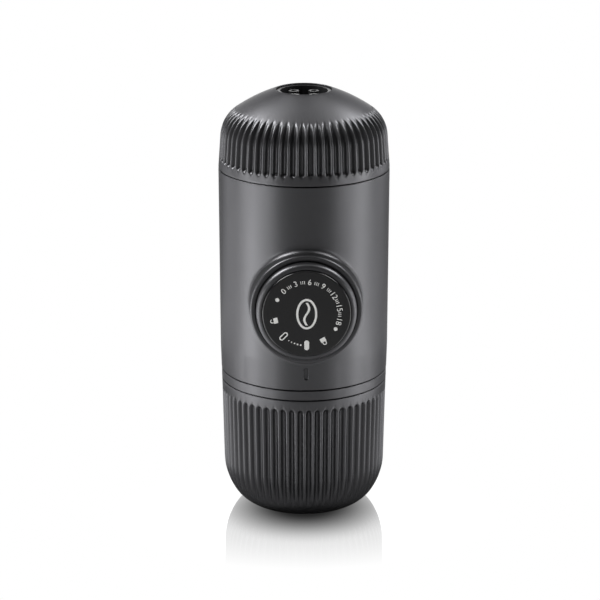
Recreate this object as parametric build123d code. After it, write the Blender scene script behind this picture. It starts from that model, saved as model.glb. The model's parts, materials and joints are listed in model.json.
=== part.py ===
from build123d import *

import os
from math import radians, sqrt, tan

# Handheld manual espresso maker, in millimetres, standing upright with its cup down.
# +Z is up, the origin is the centre of the cup's foot, and the pump knob faces -Y.
# From the top: outlet head with the coffee basket, body with the piston pump, water
# tank, and the cup that is pushed over the tank.

# ------------------------------------------------------------------ outer casings
cup_height = 47.85            # foot to rim
collar_height = 3.6           # band of the tank that stays in view
body_height = 75.2
head_height = 28.55
seam_gap = 0.3                # open line between two neighbouring casings
edge_round = 0.3              # rounded edge on both sides of each seam

body_radius = 31.0            # at the top edge, under the head
body_waist_inset = 0.25       # radius lost where the lower taper starts
body_foot_inset = 0.5         # and at the lower edge
body_foot_taper = 9.0         # height of that taper
casing_wall = 2.0             # where the casing is thinnest

head_skirt_height = 12.0      # drafted skirt below the shoulder
head_draft = 0.85             # radius lost over the skirt
head_shoulder_inset = 6.0     # radius lost by the end of the shoulder arc
head_shoulder_height = 21.0
mouth_radius = 10.0           # opening in the crown
head_wall = 2.3

collar_inset = 0.1            # steps between the body, the collar and the cup
cup_inset = 0.05
cup_draft = 0.65              # radius lost over the straight wall
cup_wall_start = 17.0         # where that wall meets the lower curve
cup_knee_inset = 3.7          # radius lost over the large arc of the lower curve
cup_knee_height = 5.0
cup_foot_inset = 6.5          # and over the small one
cup_wall = 3.0

# ------------------------------------------------------------------ grip flutes
flute_count = 60
flute_floor = 0.8             # width of the flat floor
flute_lean = 30.0             # lean of each side wall, degrees
flute_depth = 1.3
flute_overcut = 0.5           # how far the cutter stands out of the surface
head_flute_turn = 3.0         # a rib, not a groove, faces the knob's side
cup_flute_turn = 2.0
head_flute_start = 4.9        # above the head's edge
head_flute_leave = 0.5        # share of the shoulder arc that the floor follows
head_flute_runout = 7.5       # straight run in which it leaves the surface
cup_flute_start = 5.1         # below the cup's rim
cup_flute_leave = 0.17
cup_flute_runout = 9.0

# ------------------------------------------------------------------ clearances
fixed_gap = 0.1               # between two pieces that are pushed together
slide_gap = 0.35              # round a piece that moves
thread_gap = 0.4              # between plain cylinders that stand for threads
running_gap = 0.05            # between a seal or rod and its bore
contact_gap = 0.05            # between two faces that only touch

# ------------------------------------------------------------------ knob and its boss
knob_rise = 31.75             # axis above the body's lower edge
knob_proud = 4.4              # dial's face in front of the boss
knob_radius = 17.85
knob_stroke = 18.0            # the rod's guide sleeve stays in the guide over this travel
knob_edge_round = 1.5
knob_face_wall = 2.6
knob_skirt = 12.0             # length of the knob's outer wall
knob_skirt_wall = 1.7
knob_hub_radius = 6.0
knob_hub_length = 5.0
dial_radius = 15.65
dial_thickness = 2.0
dial_proud = 0.9              # dial in front of the knob's rim
dial_round = 0.5
boss_wall = 1.8
boss_proud = 4.6              # in front of the casing
boss_overlap = 0.88           # how far the tube inside runs past the casing's inner wall
boss_inner_wall = 1.2         # wall of that tube
boss_fillet = 1.8
boss_edge_round = 0.5
tick_length = 4.8             # index mark under the boss
tick_width = 1.9
tick_depth = 0.5
tick_rise = 6.35              # its middle above the body's lower edge

# ------------------------------------------------------------------ pump
barrel_bore = 7.0             # radius
barrel_wall = 1.6
barrel_front = 14.0           # distances along the pump run from the body's axis
barrel_back_wall = 2.5
piston_length = 7.0
piston_socket = 4.0           # depth of the rod's seat in the piston head
piston_seal_width = 2.4
piston_seal_depth = 1.6
chamber_length = 2.4          # water left in front of the piston
rod_radius = 3.6
sleeve_radius = 12.6          # guide sleeve on the knob
sleeve_wall = 1.1
sleeve_hold = 5.0             # what stays in the guide when the knob is out
guide_wall = 1.7
guide_drop = 4.6              # its front end behind the boss's face
guide_floor = 5.0             # seat of the return spring
guide_floor_thickness = 3.0
flange_thickness = 2.5
return_radius = 10.3
return_wire = 1.2
return_turns = 6
knob_screw_radius = 1.4
knob_screw_head = 3.0
knob_screw_head_height = 1.0
knob_screw_length = 12.0

# ------------------------------------------------------------------ valves and ducts
valve_radius = 5.2            # outside of the upright valve housings
valve_bore = 3.4
valve_ledge = 1.2             # bore ends this far below the barrel
ball_radius = 2.8
seat_bore = 1.8
seat_thickness = 1.6
duct_bore = 2.0
port_radius = 1.3
valve_spring_radius = 2.3
valve_wire = 0.5
inlet_spring_turns = 2
outlet_duct = 2.5             # from the barrel up to the outlet seat
outlet_spring_length = 7.0
outlet_spring_turns = 4
relief_drop = 7.15            # below the neck
relief_radius = 4.0
relief_bore = 2.6
relief_base = 1.8             # wall between the duct and the poppet
relief_length = 10.0
relief_poppet_length = 3.0
relief_spring_radius = 1.7
relief_spring_turns = 3
relief_cap_thickness = 1.5

# ------------------------------------------------------------------ brew neck and basket
neck_wall = 2.4
neck_height = 9.2             # above the body's top edge
neck_depth = 8.3              # below it
neck_floor = 3.0
neck_flange = 6.0
screen_drop = 3.4             # water screen below the neck's rim
screen_thickness = 0.8
screen_hole = 0.8
screen_rings = 2
screen_pitch = 6.0
screen_ledge_width = 1.5
screen_ledge_height = 2.0
ring_width = 2.4              # silicone rings at the basket
ring_height = 1.5
portafilter_wall = 1.6        # at its lower edge
basket_gap = 0.4              # between the basket's flange and the neck's bore
basket_wall = 0.7
basket_flange = 3.2
basket_height = 11.6
basket_hole = 0.7
basket_rings = 3
basket_pitch = 4.6
chamber_gap = 0.7             # round the basket
funnel_rise = 1.0
nozzle_wall = 1.3
nozzle_drop = 0.7             # its rim below the crown
nozzle_depth = 6.6
nozzle_floor = 1.4
spout_radius = 1.6
spout_wall = 0.9
post_count = 4
post_circle = 5.1
post_radius = 1.9
post_height = 4.4
nozzle_rib = 0.9
nozzle_rib_height = 1.0

# ------------------------------------------------------------------ tank
tank_gap = 0.5                # between tank and cup
tank_wall = 1.6
tank_neck_height = 8.6        # above the collar
tank_seal_height = 1.4
tank_seal_width = 2.6
socket_wall = 2.0
socket_deck = 2.4
socket_lip = 0.6              # socket's edge above the body's edge
grip_ring_radius = 0.5        # section of the O-ring that holds the cup
grip_ring_drop = 4.0          # below the collar
air_valve_radius = 2.2
air_valve_height = 3.4
air_valve_lip = 0.8           # its lip's width
air_valve_room = 1.448        # between its lip and the pump's flange

# ------------------------------------------------------------------ frame inside the body
frame_room = 0.75             # between its side plates and the pump
frame_plate = 3.0
frame_front = 12.0
frame_web = 2.0
frame_window = 10.0           # radius of the openings in its plates
valve_room = 0.23             # between the valve tubes and the back plate
screw_radius = 1.1
screw_head_radius = 2.0
screw_head_height = 1.2
screw_length = 9.0
screw_front = 7.0             # front row of screws, before the axis
screw_room = 0.26             # between the back row and the neck's bore

# ------------------------------------------------------------------ places that follow
collar_z = cup_height + seam_gap
collar_top_z = collar_z + collar_height
body_z = collar_top_z + seam_gap
body_top_z = body_z + body_height
head_z = body_top_z + seam_gap
top_z = head_z + head_height
knob_z = body_z + knob_rise

tank_rim_z = collar_top_z + tank_neck_height
deck_z = tank_rim_z + tank_seal_height + 2 * contact_gap
deck_top_z = deck_z + socket_deck
frame_z = deck_top_z + contact_gap
neck_rim_z = body_top_z + neck_height
neck_floor_z = body_top_z - neck_depth
frame_top_z = neck_floor_z - contact_gap

body_waist_radius = body_radius - body_waist_inset
body_foot_radius = body_radius - body_foot_inset
body_reach = max(body_radius, body_waist_radius, body_foot_radius)
casing_bore = min(body_radius, body_waist_radius, body_foot_radius) - casing_wall
collar_radius = body_foot_radius - collar_inset
cup_rim_radius = collar_radius - cup_inset
cup_wall_radius = cup_rim_radius - cup_draft
cup_knee_radius = cup_wall_radius - cup_knee_inset
cup_foot_radius = cup_knee_radius - cup_foot_inset
tank_neck_radius = casing_bore - fixed_gap - socket_wall - thread_gap

portafilter_bore = body_radius - head_wall - fixed_gap - portafilter_wall
neck_radius = portafilter_bore - thread_gap
neck_bore = neck_radius - neck_wall
basket_radius = neck_bore - basket_flange - basket_gap
screen_z = neck_rim_z - screen_drop
screen_top_z = screen_z + contact_gap + screen_thickness
screen_ring_z = screen_top_z + contact_gap
basket_z = screen_ring_z + ring_height + contact_gap
basket_ring_z = basket_z + basket_wall + contact_gap
step_z = basket_ring_z + ring_height + contact_gap
basket_top_z = basket_z + basket_height
chamber_radius = basket_radius + chamber_gap
chamber_top_z = basket_top_z + contact_gap
nozzle_radius = mouth_radius - fixed_gap
nozzle_rim_z = top_z - nozzle_drop
nozzle_z = nozzle_rim_z - nozzle_depth

boss_bore = knob_radius + slide_gap
boss_radius = boss_bore + boss_wall
boss_tube_radius = boss_bore + boss_inner_wall
boss_root = sqrt(casing_bore**2 - boss_tube_radius**2) - boss_overlap
boss_front = body_reach + boss_proud
guide_front = boss_front - guide_drop
sleeve_end = guide_front - sleeve_hold - knob_stroke
flange_radius = boss_tube_radius - fixed_gap
flange_front = boss_root - contact_gap
knob_reach = boss_front + knob_proud
knob_front = knob_reach - dial_proud
dial_seat = knob_reach - dial_thickness
knob_inner_face = dial_seat - knob_face_wall

guide_bore = sleeve_radius + slide_gap
guide_radius = guide_bore + guide_wall
frame_reach = guide_radius + frame_room
frame_side = frame_reach + frame_plate
frame_back = sqrt((casing_bore - fixed_gap)**2 - frame_side**2) - frame_web
screw_side = frame_reach + frame_plate / 2
screw_back = sqrt((neck_bore - screw_head_radius - screw_room)**2 - screw_side**2)

barrel_radius = barrel_bore + barrel_wall
valve_y = frame_back - valve_room - valve_radius
air_valve_reach = flange_front - flange_thickness - air_valve_room - air_valve_lip - air_valve_radius
piston_face = chamber_length / 2 - valve_y
barrel_end = piston_face - chamber_length
relief_z = neck_floor_z - relief_drop
inlet_ledge_z = knob_z - barrel_radius - valve_ledge
inlet_seat_z = deck_top_z + contact_gap
outlet_seat_z = knob_z + barrel_radius + outlet_duct
relief_start = valve_radius + relief_base

KNOB = Plane(origin=(0, 0, knob_z), x_dir=(1, 0, 0), z_dir=(0, -1, 0))
RELIEF = Plane(origin=(0, valve_y, relief_z), x_dir=(0, 1, 0), z_dir=(1, 0, 0))
VALVES = Pos(0, valve_y, 0)
UPWARD = (Align.CENTER, Align.CENTER, Align.MIN)

head_points = [
    (body_radius, head_z),
    (body_radius - head_draft, head_z + head_skirt_height),
    (body_radius - head_shoulder_inset, head_z + head_shoulder_height),
    (mouth_radius, top_z),
]
cup_points = [
    (cup_rim_radius, cup_height),
    (cup_wall_radius, cup_wall_start),
    (cup_knee_radius, cup_knee_height),
    (cup_foot_radius, 0),
]


# ------------------------------------------------------------------ shared shapes
def disc(radius, low, high):
    """Cylinder between two heights of its own plane."""
    return Pos(0, 0, low) * Cylinder(radius, high - low, align=UPWARD)


def tube(outer, inner, low, high):
    return disc(outer, low, high) - disc(inner, low, high)


def turned(*corners):
    """Solid turned round Z from its corners as (radius, height)."""
    outline = Polyline(*corners, close=True)
    return revolve(Plane.XZ * make_face(outline.edges()), Axis.Z)


def arc_outline(points):
    """Straight wall, then two arcs, each tangent to the stretch before it."""
    start, wall_end, shoulder_end, end = points
    wall = Line(start, wall_end)
    shoulder = TangentArc(wall_end, shoulder_end, tangent=wall % 1)
    crown = TangentArc(shoulder_end, end, tangent=shoulder % 1)
    return [wall, shoulder, crown]


def inset_outline(points, depth):
    """The same outline moved inwards, with its arcs concentric."""
    wall, shoulder, crown = arc_outline(points)
    inwards = 90 if points[1][1] > points[0][1] else -90

    def moved(edge, where):
        return edge @ where + (edge % where).rotate(Axis.Z, inwards) * depth

    return arc_outline([
        (moved(edge, where).X, moved(edge, where).Y)
        for edge, where in ((wall, 0), (wall, 1), (shoulder, 1), (crown, 1))])


def turned_outline(edges):
    """Solid between an outline and the axis."""
    start = edges[0] @ 0
    end = edges[-1] @ 1
    closing = Polyline(end, (0, end.Y), (0, start.Y), start)
    return revolve(Plane.XZ * make_face([*edges, *closing.edges()]), Axis.Z)


def rounded_rim(shell, height, radius):
    """Round the outer edge of a turned shell at one height."""
    rim = shell.edges().filter_by(GeomType.CIRCLE).filter_by_position(
        Axis.Z, height - contact_gap, height + contact_gap)
    return fillet(rim.sort_by(lambda edge: edge.radius)[-1], radius)


def drills(radius, rings, pitch, low, high):
    """Holes of a perforated disc: one in the middle, then rings of 6, 12, 18..."""
    places = [Location()]
    for ring in range(1, rings + 1):
        places += list(PolarLocations(ring * pitch, 6 * ring))
    return [place * disc(radius, low, high) for place in places]


def coil(radius, wire, low, high, turns):
    """Compression spring that stands between two faces."""
    free = high - low - wire - 2 * contact_gap
    path = Helix(pitch=free / turns, height=free, radius=radius)
    section = Plane(path @ 0, z_dir=path % 0) * Circle(wire / 2)
    return Pos(0, 0, low + wire / 2 + contact_gap) * sweep(section, path=path, is_frenet=True)


def flutes(points, start, leave, runout, turn):
    """Cutters for all grip flutes of one casing: trapezoid grooves with a round end.

    Each floor runs straight down the wall, bends once on the shoulder arc and then
    leaves the surface on a tangent, so the groove fades out in a point.
    """
    wall, shoulder, _ = inset_outline(points, flute_depth)
    bend = shoulder @ leave
    floor = [wall @ (start / (wall.length)), wall @ 1, bend, bend + (shoulder % leave) * runout]
    path = Polyline(*[(point.X, 0, point.Y) for point in floor])
    height = flute_depth + flute_overcut
    spread = flute_floor / 2 + height * tan(radians(flute_lean))
    across = Plane(origin=path @ 0, x_dir=(0, 1, 0), z_dir=path % 0)
    outward = -1 if across.y_dir.X < 0 else 1
    section = across * make_face(Polyline(
        (-flute_floor / 2, 0), (flute_floor / 2, 0),
        (spread, outward * height), (-spread, outward * height), close=True).edges())
    groove = sweep(section, path=path, transition=Transition.RIGHT)
    end = Plane(origin=path @ 0, x_dir=(0, 1, 0), z_dir=across.y_dir * outward)
    groove += end * Cone(flute_floor / 2, spread, height, align=UPWARD)
    return [place * groove for place in PolarLocations(0, flute_count, start_angle=turn)]


# ------------------------------------------------------------------ outlet head
def head_cap():
    """Fluted outer shell of the outlet head."""
    cavity = inset_outline(head_points, head_wall)
    shell = turned_outline(arc_outline(head_points))
    shell -= turned_outline(cavity)
    shell -= disc((cavity[0] @ 0).X, head_z - 1, head_z + 1)
    shell -= disc(mouth_radius, head_z, top_z + 1)
    shell = rounded_rim(shell, head_z, edge_round)
    return shell - flutes(head_points, head_flute_start, head_flute_leave, head_flute_runout,
                          head_flute_turn)


def portafilter():
    """Threaded inner half of the head: basket chamber, then a funnel to the nozzle."""
    block = turned_outline(inset_outline(head_points, head_wall + fixed_gap))
    block -= disc(body_radius, head_z - seam_gap, head_z + seam_gap)
    block -= turned(
        (0, head_z - 1), (portafilter_bore, head_z - 1), (portafilter_bore, step_z),
        (chamber_radius, step_z), (chamber_radius, chamber_top_z),
        (nozzle_radius - nozzle_wall, chamber_top_z + funnel_rise),
        (nozzle_radius - nozzle_wall, top_z + 1), (0, top_z + 1))
    return block - disc(mouth_radius, nozzle_z - contact_gap, top_z + 1)


def outlet_nozzle():
    """Insert in the crown: a shallow well with a spout and four hollow posts."""
    floor_top = nozzle_z + nozzle_floor
    post_top = floor_top + post_height
    well = tube(nozzle_radius, nozzle_radius - nozzle_wall, nozzle_z, nozzle_rim_z)
    well += disc(nozzle_radius - nozzle_wall / 2, nozzle_z, floor_top)
    well += disc(spout_radius + spout_wall, nozzle_z, floor_top + nozzle_rib_height)
    rib = Box(2 * nozzle_radius - nozzle_wall, nozzle_rib, nozzle_rib_height, align=UPWARD)
    for place in PolarLocations(0, post_count // 2, start_angle=45, angular_range=180):
        well += place * Pos(0, 0, floor_top) * rib
    for place in PolarLocations(post_circle, post_count, start_angle=45):
        well += place * disc(post_radius, nozzle_z, post_top)
        well -= place * disc(post_radius - nozzle_rib, floor_top, post_top + 1)
    return well - disc(spout_radius, nozzle_z - 1, post_top)


def filter_basket():
    """Pressed steel basket, mouth down, with a perforated bottom under the funnel."""
    inner = basket_radius - basket_wall
    basket = tube(basket_radius, inner, basket_z, basket_top_z)
    basket += tube(basket_radius + basket_flange, inner, basket_z, basket_z + basket_wall)
    basket += disc(basket_radius, basket_top_z - basket_wall, basket_top_z)
    return basket - drills(basket_hole, basket_rings, basket_pitch,
                           basket_top_z - 2 * basket_wall, basket_top_z + 1)


def basket_seal():
    """Silicone ring between the basket's flange and the portafilter."""
    return tube(basket_radius + basket_flange, chamber_radius,
                basket_ring_z, basket_ring_z + ring_height)


# ------------------------------------------------------------------ body
def body_shell():
    """Outer casing with the round boss that the pump knob works in."""
    shell = turned(
        (0, body_z), (body_foot_radius, body_z), (body_waist_radius, body_z + body_foot_taper),
        (body_radius, body_top_z), (0, body_top_z))
    shell += KNOB * disc(boss_radius, 0, boss_front)
    boss_side = shell.faces().filter_by(GeomType.CYLINDER)[0]
    root = boss_side.edges().sort_by(Axis.Y)[-1]
    shell = fillet(root, boss_fillet)
    front = shell.edges().filter_by(GeomType.CIRCLE).sort_by(Axis.Y)[0]
    shell = fillet(front, boss_edge_round)
    shell = rounded_rim(shell, body_z, edge_round)
    shell = rounded_rim(shell, body_top_z, edge_round)
    shell -= disc(casing_bore, body_z - 1, body_top_z + 1)
    shell += KNOB * tube(boss_tube_radius, boss_bore, boss_root, boss_front - boss_fillet)
    shell -= KNOB * disc(boss_bore, 0, boss_front + 1)
    tick = extrude(SlotOverall(tick_length, tick_width, rotation=90), boss_proud)
    return shell - KNOB * Pos(0, tick_rise - knob_rise, body_foot_radius - tick_depth) * tick


def screw_places():
    """Two screws through the top and the bottom of each side plate of the frame."""
    return [Pos(x, y, 0) for x in (-screw_side, screw_side) for y in (-screw_front, screw_back)]


def fixing_holes(radius, low, high):
    return [place * disc(radius, low, high) for place in screw_places()]


def brew_neck():
    """Threaded neck at the top: a cup that holds the water screen, with its inlet port."""
    flange = casing_bore - fixed_gap
    neck = turned(
        (0, neck_floor_z), (flange, neck_floor_z), (flange, neck_floor_z + neck_flange),
        (neck_radius, neck_floor_z + neck_flange), (neck_radius, neck_rim_z),
        (neck_bore, neck_rim_z), (neck_bore, screen_z), (neck_bore - screen_ledge_width, screen_z),
        (neck_bore - screen_ledge_width, screen_z - screen_ledge_height),
        (neck_bore, screen_z - screen_ledge_height - screen_ledge_width),
        (neck_bore, neck_floor_z + neck_floor), (0, neck_floor_z + neck_floor))
    top = neck_floor_z + neck_floor
    neck -= fixing_holes(screw_radius + fixed_gap, neck_floor_z - 1, top + 1)
    neck -= fixing_holes(screw_head_radius + fixed_gap, top - screw_head_height, top + 1)
    return neck - VALVES * disc(duct_bore, neck_floor_z - 1, top + 1)


def shower_screen():
    """Perforated steel disc that spreads the water over the coffee."""
    low = screen_z + contact_gap
    return disc(neck_bore - fixed_gap, low, screen_top_z) - drills(
        screen_hole, screen_rings, screen_pitch, low - 1, screen_top_z + 1)


def screen_seal():
    return tube(neck_bore - fixed_gap, neck_bore - ring_width, screen_ring_z, screen_ring_z + ring_height)


def tank_socket():
    """Deck over the tank with the threaded skirt that the tank screws into."""
    outer = casing_bore - fixed_gap
    bore = tank_neck_radius + thread_gap
    socket = turned(
        (0, deck_z), (bore, deck_z), (bore, body_z + socket_lip), (outer, body_z + socket_lip),
        (outer, deck_top_z), (0, deck_top_z))
    socket -= fixing_holes(screw_radius + fixed_gap, deck_z - 1, deck_top_z + 1)
    socket -= fixing_holes(screw_head_radius + fixed_gap, deck_z - 1, deck_z + screw_head_height)
    socket -= Pos(0, -air_valve_reach, 0) * disc(air_valve_radius + fixed_gap, deck_z - 1, deck_top_z + 1)
    return socket - VALVES * disc(seat_bore, deck_z - 1, deck_top_z + 1)


def air_valve():
    """Silicone valve that lets air into the tank: a stem with a wider lip over the deck."""
    stem = disc(air_valve_radius, deck_z, deck_z + air_valve_height)
    lip = disc(air_valve_radius + air_valve_lip, deck_z + air_valve_height,
               deck_z + air_valve_height + tank_seal_height)
    return Pos(0, -air_valve_reach, 0) * (stem + lip)


def pump_frame():
    """Inner frame that clamps the pump between the deck and the neck."""
    height = frame_top_z - frame_z
    back = frame_back + frame_web
    block = Pos(0, (back - frame_front) / 2, frame_z) * Box(
        2 * frame_side, back + frame_front, height, align=UPWARD)
    room = Pos(0, (frame_back - frame_front) / 2 - 1, frame_z - 1) * Box(
        2 * frame_reach, frame_back + frame_front + 2, height + 2, align=UPWARD)
    frame = block - room
    frame -= Pos(0, 0, knob_z) * Rot(0, 90, 0) * Cylinder(frame_window, 3 * frame_side)
    frame -= Pos(0, back, knob_z) * Rot(90, 0, 0) * Cylinder(frame_window, 3 * frame_web)
    frame -= fixing_holes(screw_radius + running_gap, frame_z - 1, frame_z + screw_length)
    return frame - fixing_holes(screw_radius + running_gap, frame_top_z - screw_length, frame_top_z + 1)


def deck_screws():
    """Four screws from under the deck into the frame."""
    low = deck_z + contact_gap
    screw = disc(screw_head_radius, low, low + screw_head_height - 2 * contact_gap)
    screw += disc(screw_radius, low, low + screw_length)
    return Compound([place * screw for place in screw_places()])


def neck_screws():
    """Four screws from inside the neck down into the frame."""
    high = neck_floor_z + neck_floor
    screw = disc(screw_head_radius, high - screw_head_height + contact_gap, high)
    screw += disc(screw_radius, high - screw_length, high)
    return Compound([place * screw for place in screw_places()])


# ------------------------------------------------------------------ pump and valves
def pump_housing():
    """Barrel, spring chamber and flange in one moulding, along the knob's axis."""
    housing = tube(flange_radius, guide_bore, flange_front - flange_thickness, flange_front)
    housing += tube(guide_radius, guide_bore, guide_floor, guide_front)
    housing += disc(guide_radius, guide_floor - guide_floor_thickness, guide_floor)
    housing += disc(barrel_radius, barrel_end - barrel_back_wall, barrel_front)
    housing -= disc(barrel_bore, barrel_end, barrel_front + 1)
    return KNOB * housing - VALVES * disc(
        port_radius, knob_z - barrel_radius - 1, knob_z + barrel_radius + 1)


def saddle():
    """Room for the barrel, cut out of what stands on it."""
    return KNOB * disc(barrel_radius + contact_gap, barrel_end - 2 * valve_radius, barrel_front)


def inlet_housing():
    """Upright tube from the deck to the barrel, round the inlet valve."""
    housing = disc(valve_radius, frame_z, knob_z)
    housing -= disc(valve_bore, frame_z - 1, inlet_ledge_z)
    housing -= disc(duct_bore, frame_z, knob_z)
    return VALVES * housing - saddle()


def outlet_housing():
    """Upright tube from the barrel to the neck, round the outlet valve."""
    spring_top = outlet_ball_z() + ball_radius + outlet_spring_length
    housing = disc(valve_radius, knob_z, frame_top_z)
    housing -= disc(duct_bore, knob_z - 1, frame_top_z + 1)
    housing -= disc(valve_bore, outlet_seat_z, spring_top)
    return VALVES * housing - saddle() - RELIEF * disc(port_radius, 0, valve_radius + 1)


def valve_seat(low):
    return VALVES * tube(valve_bore - running_gap, seat_bore, low, low + seat_thickness)


def ball_height(seat_low):
    """Centre of a ball that lies in its seat's bore."""
    return seat_low + seat_thickness + sqrt(ball_radius**2 - seat_bore**2) + contact_gap


def inlet_ball_z():
    return ball_height(inlet_seat_z)


def outlet_ball_z():
    return ball_height(outlet_seat_z)


def inlet_seat():
    return valve_seat(inlet_seat_z)


def outlet_seat():
    return valve_seat(outlet_seat_z)


def inlet_ball():
    return Pos(0, valve_y, inlet_ball_z()) * Sphere(ball_radius)


def outlet_ball():
    return Pos(0, valve_y, outlet_ball_z()) * Sphere(ball_radius)


def inlet_spring():
    return VALVES * coil(valve_spring_radius, valve_wire, inlet_ball_z() + ball_radius,
                         inlet_ledge_z, inlet_spring_turns)


def outlet_spring():
    low = outlet_ball_z() + ball_radius
    return VALVES * coil(valve_spring_radius, valve_wire, low, low + outlet_spring_length,
                         outlet_spring_turns)


def relief_housing():
    """Side branch of the outlet tube that opens when the pressure is too high."""
    branch = disc(relief_radius, 0, valve_radius + relief_length)
    branch -= disc(relief_bore, relief_start, valve_radius + relief_length + 1)
    branch -= disc(port_radius, 0, relief_start + 1)
    return RELIEF * branch - VALVES * disc(valve_radius + contact_gap, knob_z, frame_top_z)


def relief_poppet():
    low = relief_start + contact_gap
    return RELIEF * disc(relief_bore - slide_gap, low, low + relief_poppet_length)


def relief_cap():
    end = valve_radius + relief_length
    return RELIEF * disc(relief_bore - running_gap, end - relief_cap_thickness, end)


def relief_spring():
    low = relief_start + contact_gap + relief_poppet_length
    high = valve_radius + relief_length - relief_cap_thickness
    return RELIEF * coil(relief_spring_radius, valve_wire, low, high, relief_spring_turns)


# ------------------------------------------------------------------ piston and knob
def piston_rod():
    """Steel rod from the knob's hub to the piston head, bored for the knob screw."""
    rod = disc(rod_radius, piston_face + piston_length - piston_socket + contact_gap,
               knob_inner_face - contact_gap)
    screw_end = dial_seat - knob_screw_length
    return KNOB * (rod - disc(knob_screw_radius + running_gap, screw_end - 1, knob_reach))


def piston_head():
    """Piston with a groove for its seal and a socket for the rod."""
    radius = barrel_bore - slide_gap
    back = piston_face + piston_length
    groove = piston_face + (piston_length - piston_socket) / 2
    head = disc(radius, piston_face, back)
    head -= disc(rod_radius + running_gap, back - piston_socket, back + 1)
    head -= tube(barrel_bore, barrel_bore - running_gap - piston_seal_depth,
                 groove - contact_gap, groove + piston_seal_width + contact_gap)
    return KNOB * head


def piston_seal():
    groove = piston_face + (piston_length - piston_socket) / 2
    return KNOB * tube(barrel_bore - running_gap, barrel_bore - piston_seal_depth,
                       groove, groove + piston_seal_width)


def return_spring():
    return KNOB * coil(return_radius, return_wire, guide_floor, knob_inner_face, return_turns)


def knob_screw():
    """Screw under the dial that ties the knob to the rod and lets it turn."""
    low = dial_seat - knob_screw_length
    screw = disc(knob_screw_radius, low, dial_seat - knob_screw_head_height)
    return KNOB * (screw + disc(knob_screw_head, dial_seat - knob_screw_head_height, dial_seat - contact_gap))


def pump_knob():
    """Round knob: rim, face, outer skirt, guide sleeve and the hub for the rod."""
    knob = disc(knob_radius, knob_front - knob_skirt, knob_front)
    rim = knob.edges().filter_by(GeomType.CIRCLE).sort_by(Axis.Z)[-1]
    knob = fillet(rim, knob_edge_round)
    knob -= disc(knob_radius - knob_skirt_wall, 0, knob_inner_face)
    knob += tube(sleeve_radius, sleeve_radius - sleeve_wall, sleeve_end, dial_seat)
    knob += tube(knob_hub_radius, rod_radius + running_gap,
                 knob_inner_face - knob_hub_length, knob_inner_face)
    knob -= disc(dial_radius + fixed_gap, dial_seat, knob_reach)
    knob -= disc(knob_screw_radius + slide_gap, knob_inner_face - 1, knob_reach)
    return KNOB * (knob - disc(knob_screw_head + slide_gap, dial_seat - knob_screw_head_height - contact_gap,
                               knob_reach))


def dial():
    """Gloss disc in the knob's face."""
    plate = disc(dial_radius, dial_seat + contact_gap, knob_reach)
    return KNOB * fillet(plate.edges().filter_by(GeomType.CIRCLE).sort_by(Axis.Z)[-1], dial_round)


# ------------------------------------------------------------------ tank and cup
def grip_ring_seat(radius):
    """Torus of the O-ring, held off the cup's inner wall."""
    wall = inset_outline(cup_points, cup_wall)[0]
    height = collar_z - grip_ring_drop
    share = ((wall @ 0).Y - height) / ((wall @ 0).Y - (wall @ 1).Y)
    reach = (wall @ share).X - running_gap - grip_ring_radius
    return Pos(0, 0, height) * Torus(reach, radius)


def water_tank():
    """Water tank: round bottom inside the cup, threaded neck inside the body."""
    outside = inset_outline(cup_points, cup_wall + tank_gap)
    inside = inset_outline(cup_points, cup_wall + tank_gap + tank_wall)
    shoulder_z = collar_z - contact_gap
    tank = turned_outline(outside)
    tank += disc((outside[0] @ 0).X, (outside[0] @ 0).Y - 1, shoulder_z)
    tank += disc(tank_neck_radius, shoulder_z - 1, tank_rim_z)
    tank -= turned_outline(inside)
    tank -= disc(tank_neck_radius - tank_wall, (inside[0] @ 0).Y - 1, tank_rim_z + 1)
    return tank - grip_ring_seat(grip_ring_radius + contact_gap)


def tank_collar():
    """Band round the tank that shows between cup and body."""
    band = tube(collar_radius, tank_neck_radius + fixed_gap, collar_z, collar_top_z)
    band = rounded_rim(band, collar_z, edge_round)
    return rounded_rim(band, collar_top_z, edge_round)


def tank_seal():
    low = tank_rim_z + contact_gap
    return tube(tank_neck_radius, tank_neck_radius - tank_seal_width, low, low + tank_seal_height)


def grip_ring():
    """O-ring in the tank's wall that holds the cup by friction."""
    return grip_ring_seat(grip_ring_radius)


def cup():
    """Fluted cup with a rounded bottom, pushed over the tank from below."""
    shell = turned_outline(arc_outline(cup_points))
    shell -= turned_outline(inset_outline(cup_points, cup_wall))
    shell = rounded_rim(shell, cup_height, edge_round)
    return shell - flutes(cup_points, cup_flute_start, cup_flute_leave, cup_flute_runout,
                          cup_flute_turn)


NODES = [
    head_cap, portafilter, outlet_nozzle, filter_basket, basket_seal,
    body_shell, brew_neck, shower_screen, screen_seal, neck_screws,
    tank_socket, deck_screws, air_valve, pump_frame, pump_housing,
    inlet_housing, inlet_seat, inlet_ball, inlet_spring,
    outlet_housing, outlet_seat, outlet_ball, outlet_spring,
    relief_housing, relief_poppet, relief_spring, relief_cap,
    piston_rod, piston_head, piston_seal, return_spring, knob_screw,
    pump_knob, dial,
    water_tank, tank_collar, tank_seal, grip_ring, cup,
]

os.makedirs("parts", exist_ok=True)
for make in NODES:
    part = make()
    export_step(part, f"parts/{make.__name__}.step")
    print(f"{make.__name__}: {len(part.solids())} solid(s), {part.volume:.0f} mm3")
print(f"overall height {top_z:.2f} mm, knob axis {knob_z:.2f} mm")
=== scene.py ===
"""Looks of a handheld manual espresso maker, built round its packed construction model.

The sizes are in metres, in the model's own frame: +Z runs up the long axis, the cup's foot
stands on Z = 0 and the pump knob faces -Y.
"""

import json
from contextlib import contextmanager
from math import atan2, ceil, copysign, cos, hypot, pi, radians, sin, sqrt, tan

import bmesh
import bpy
from bpy.props import FloatProperty, FloatVectorProperty, IntProperty, PointerProperty
from mathutils import Matrix, Vector


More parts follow.
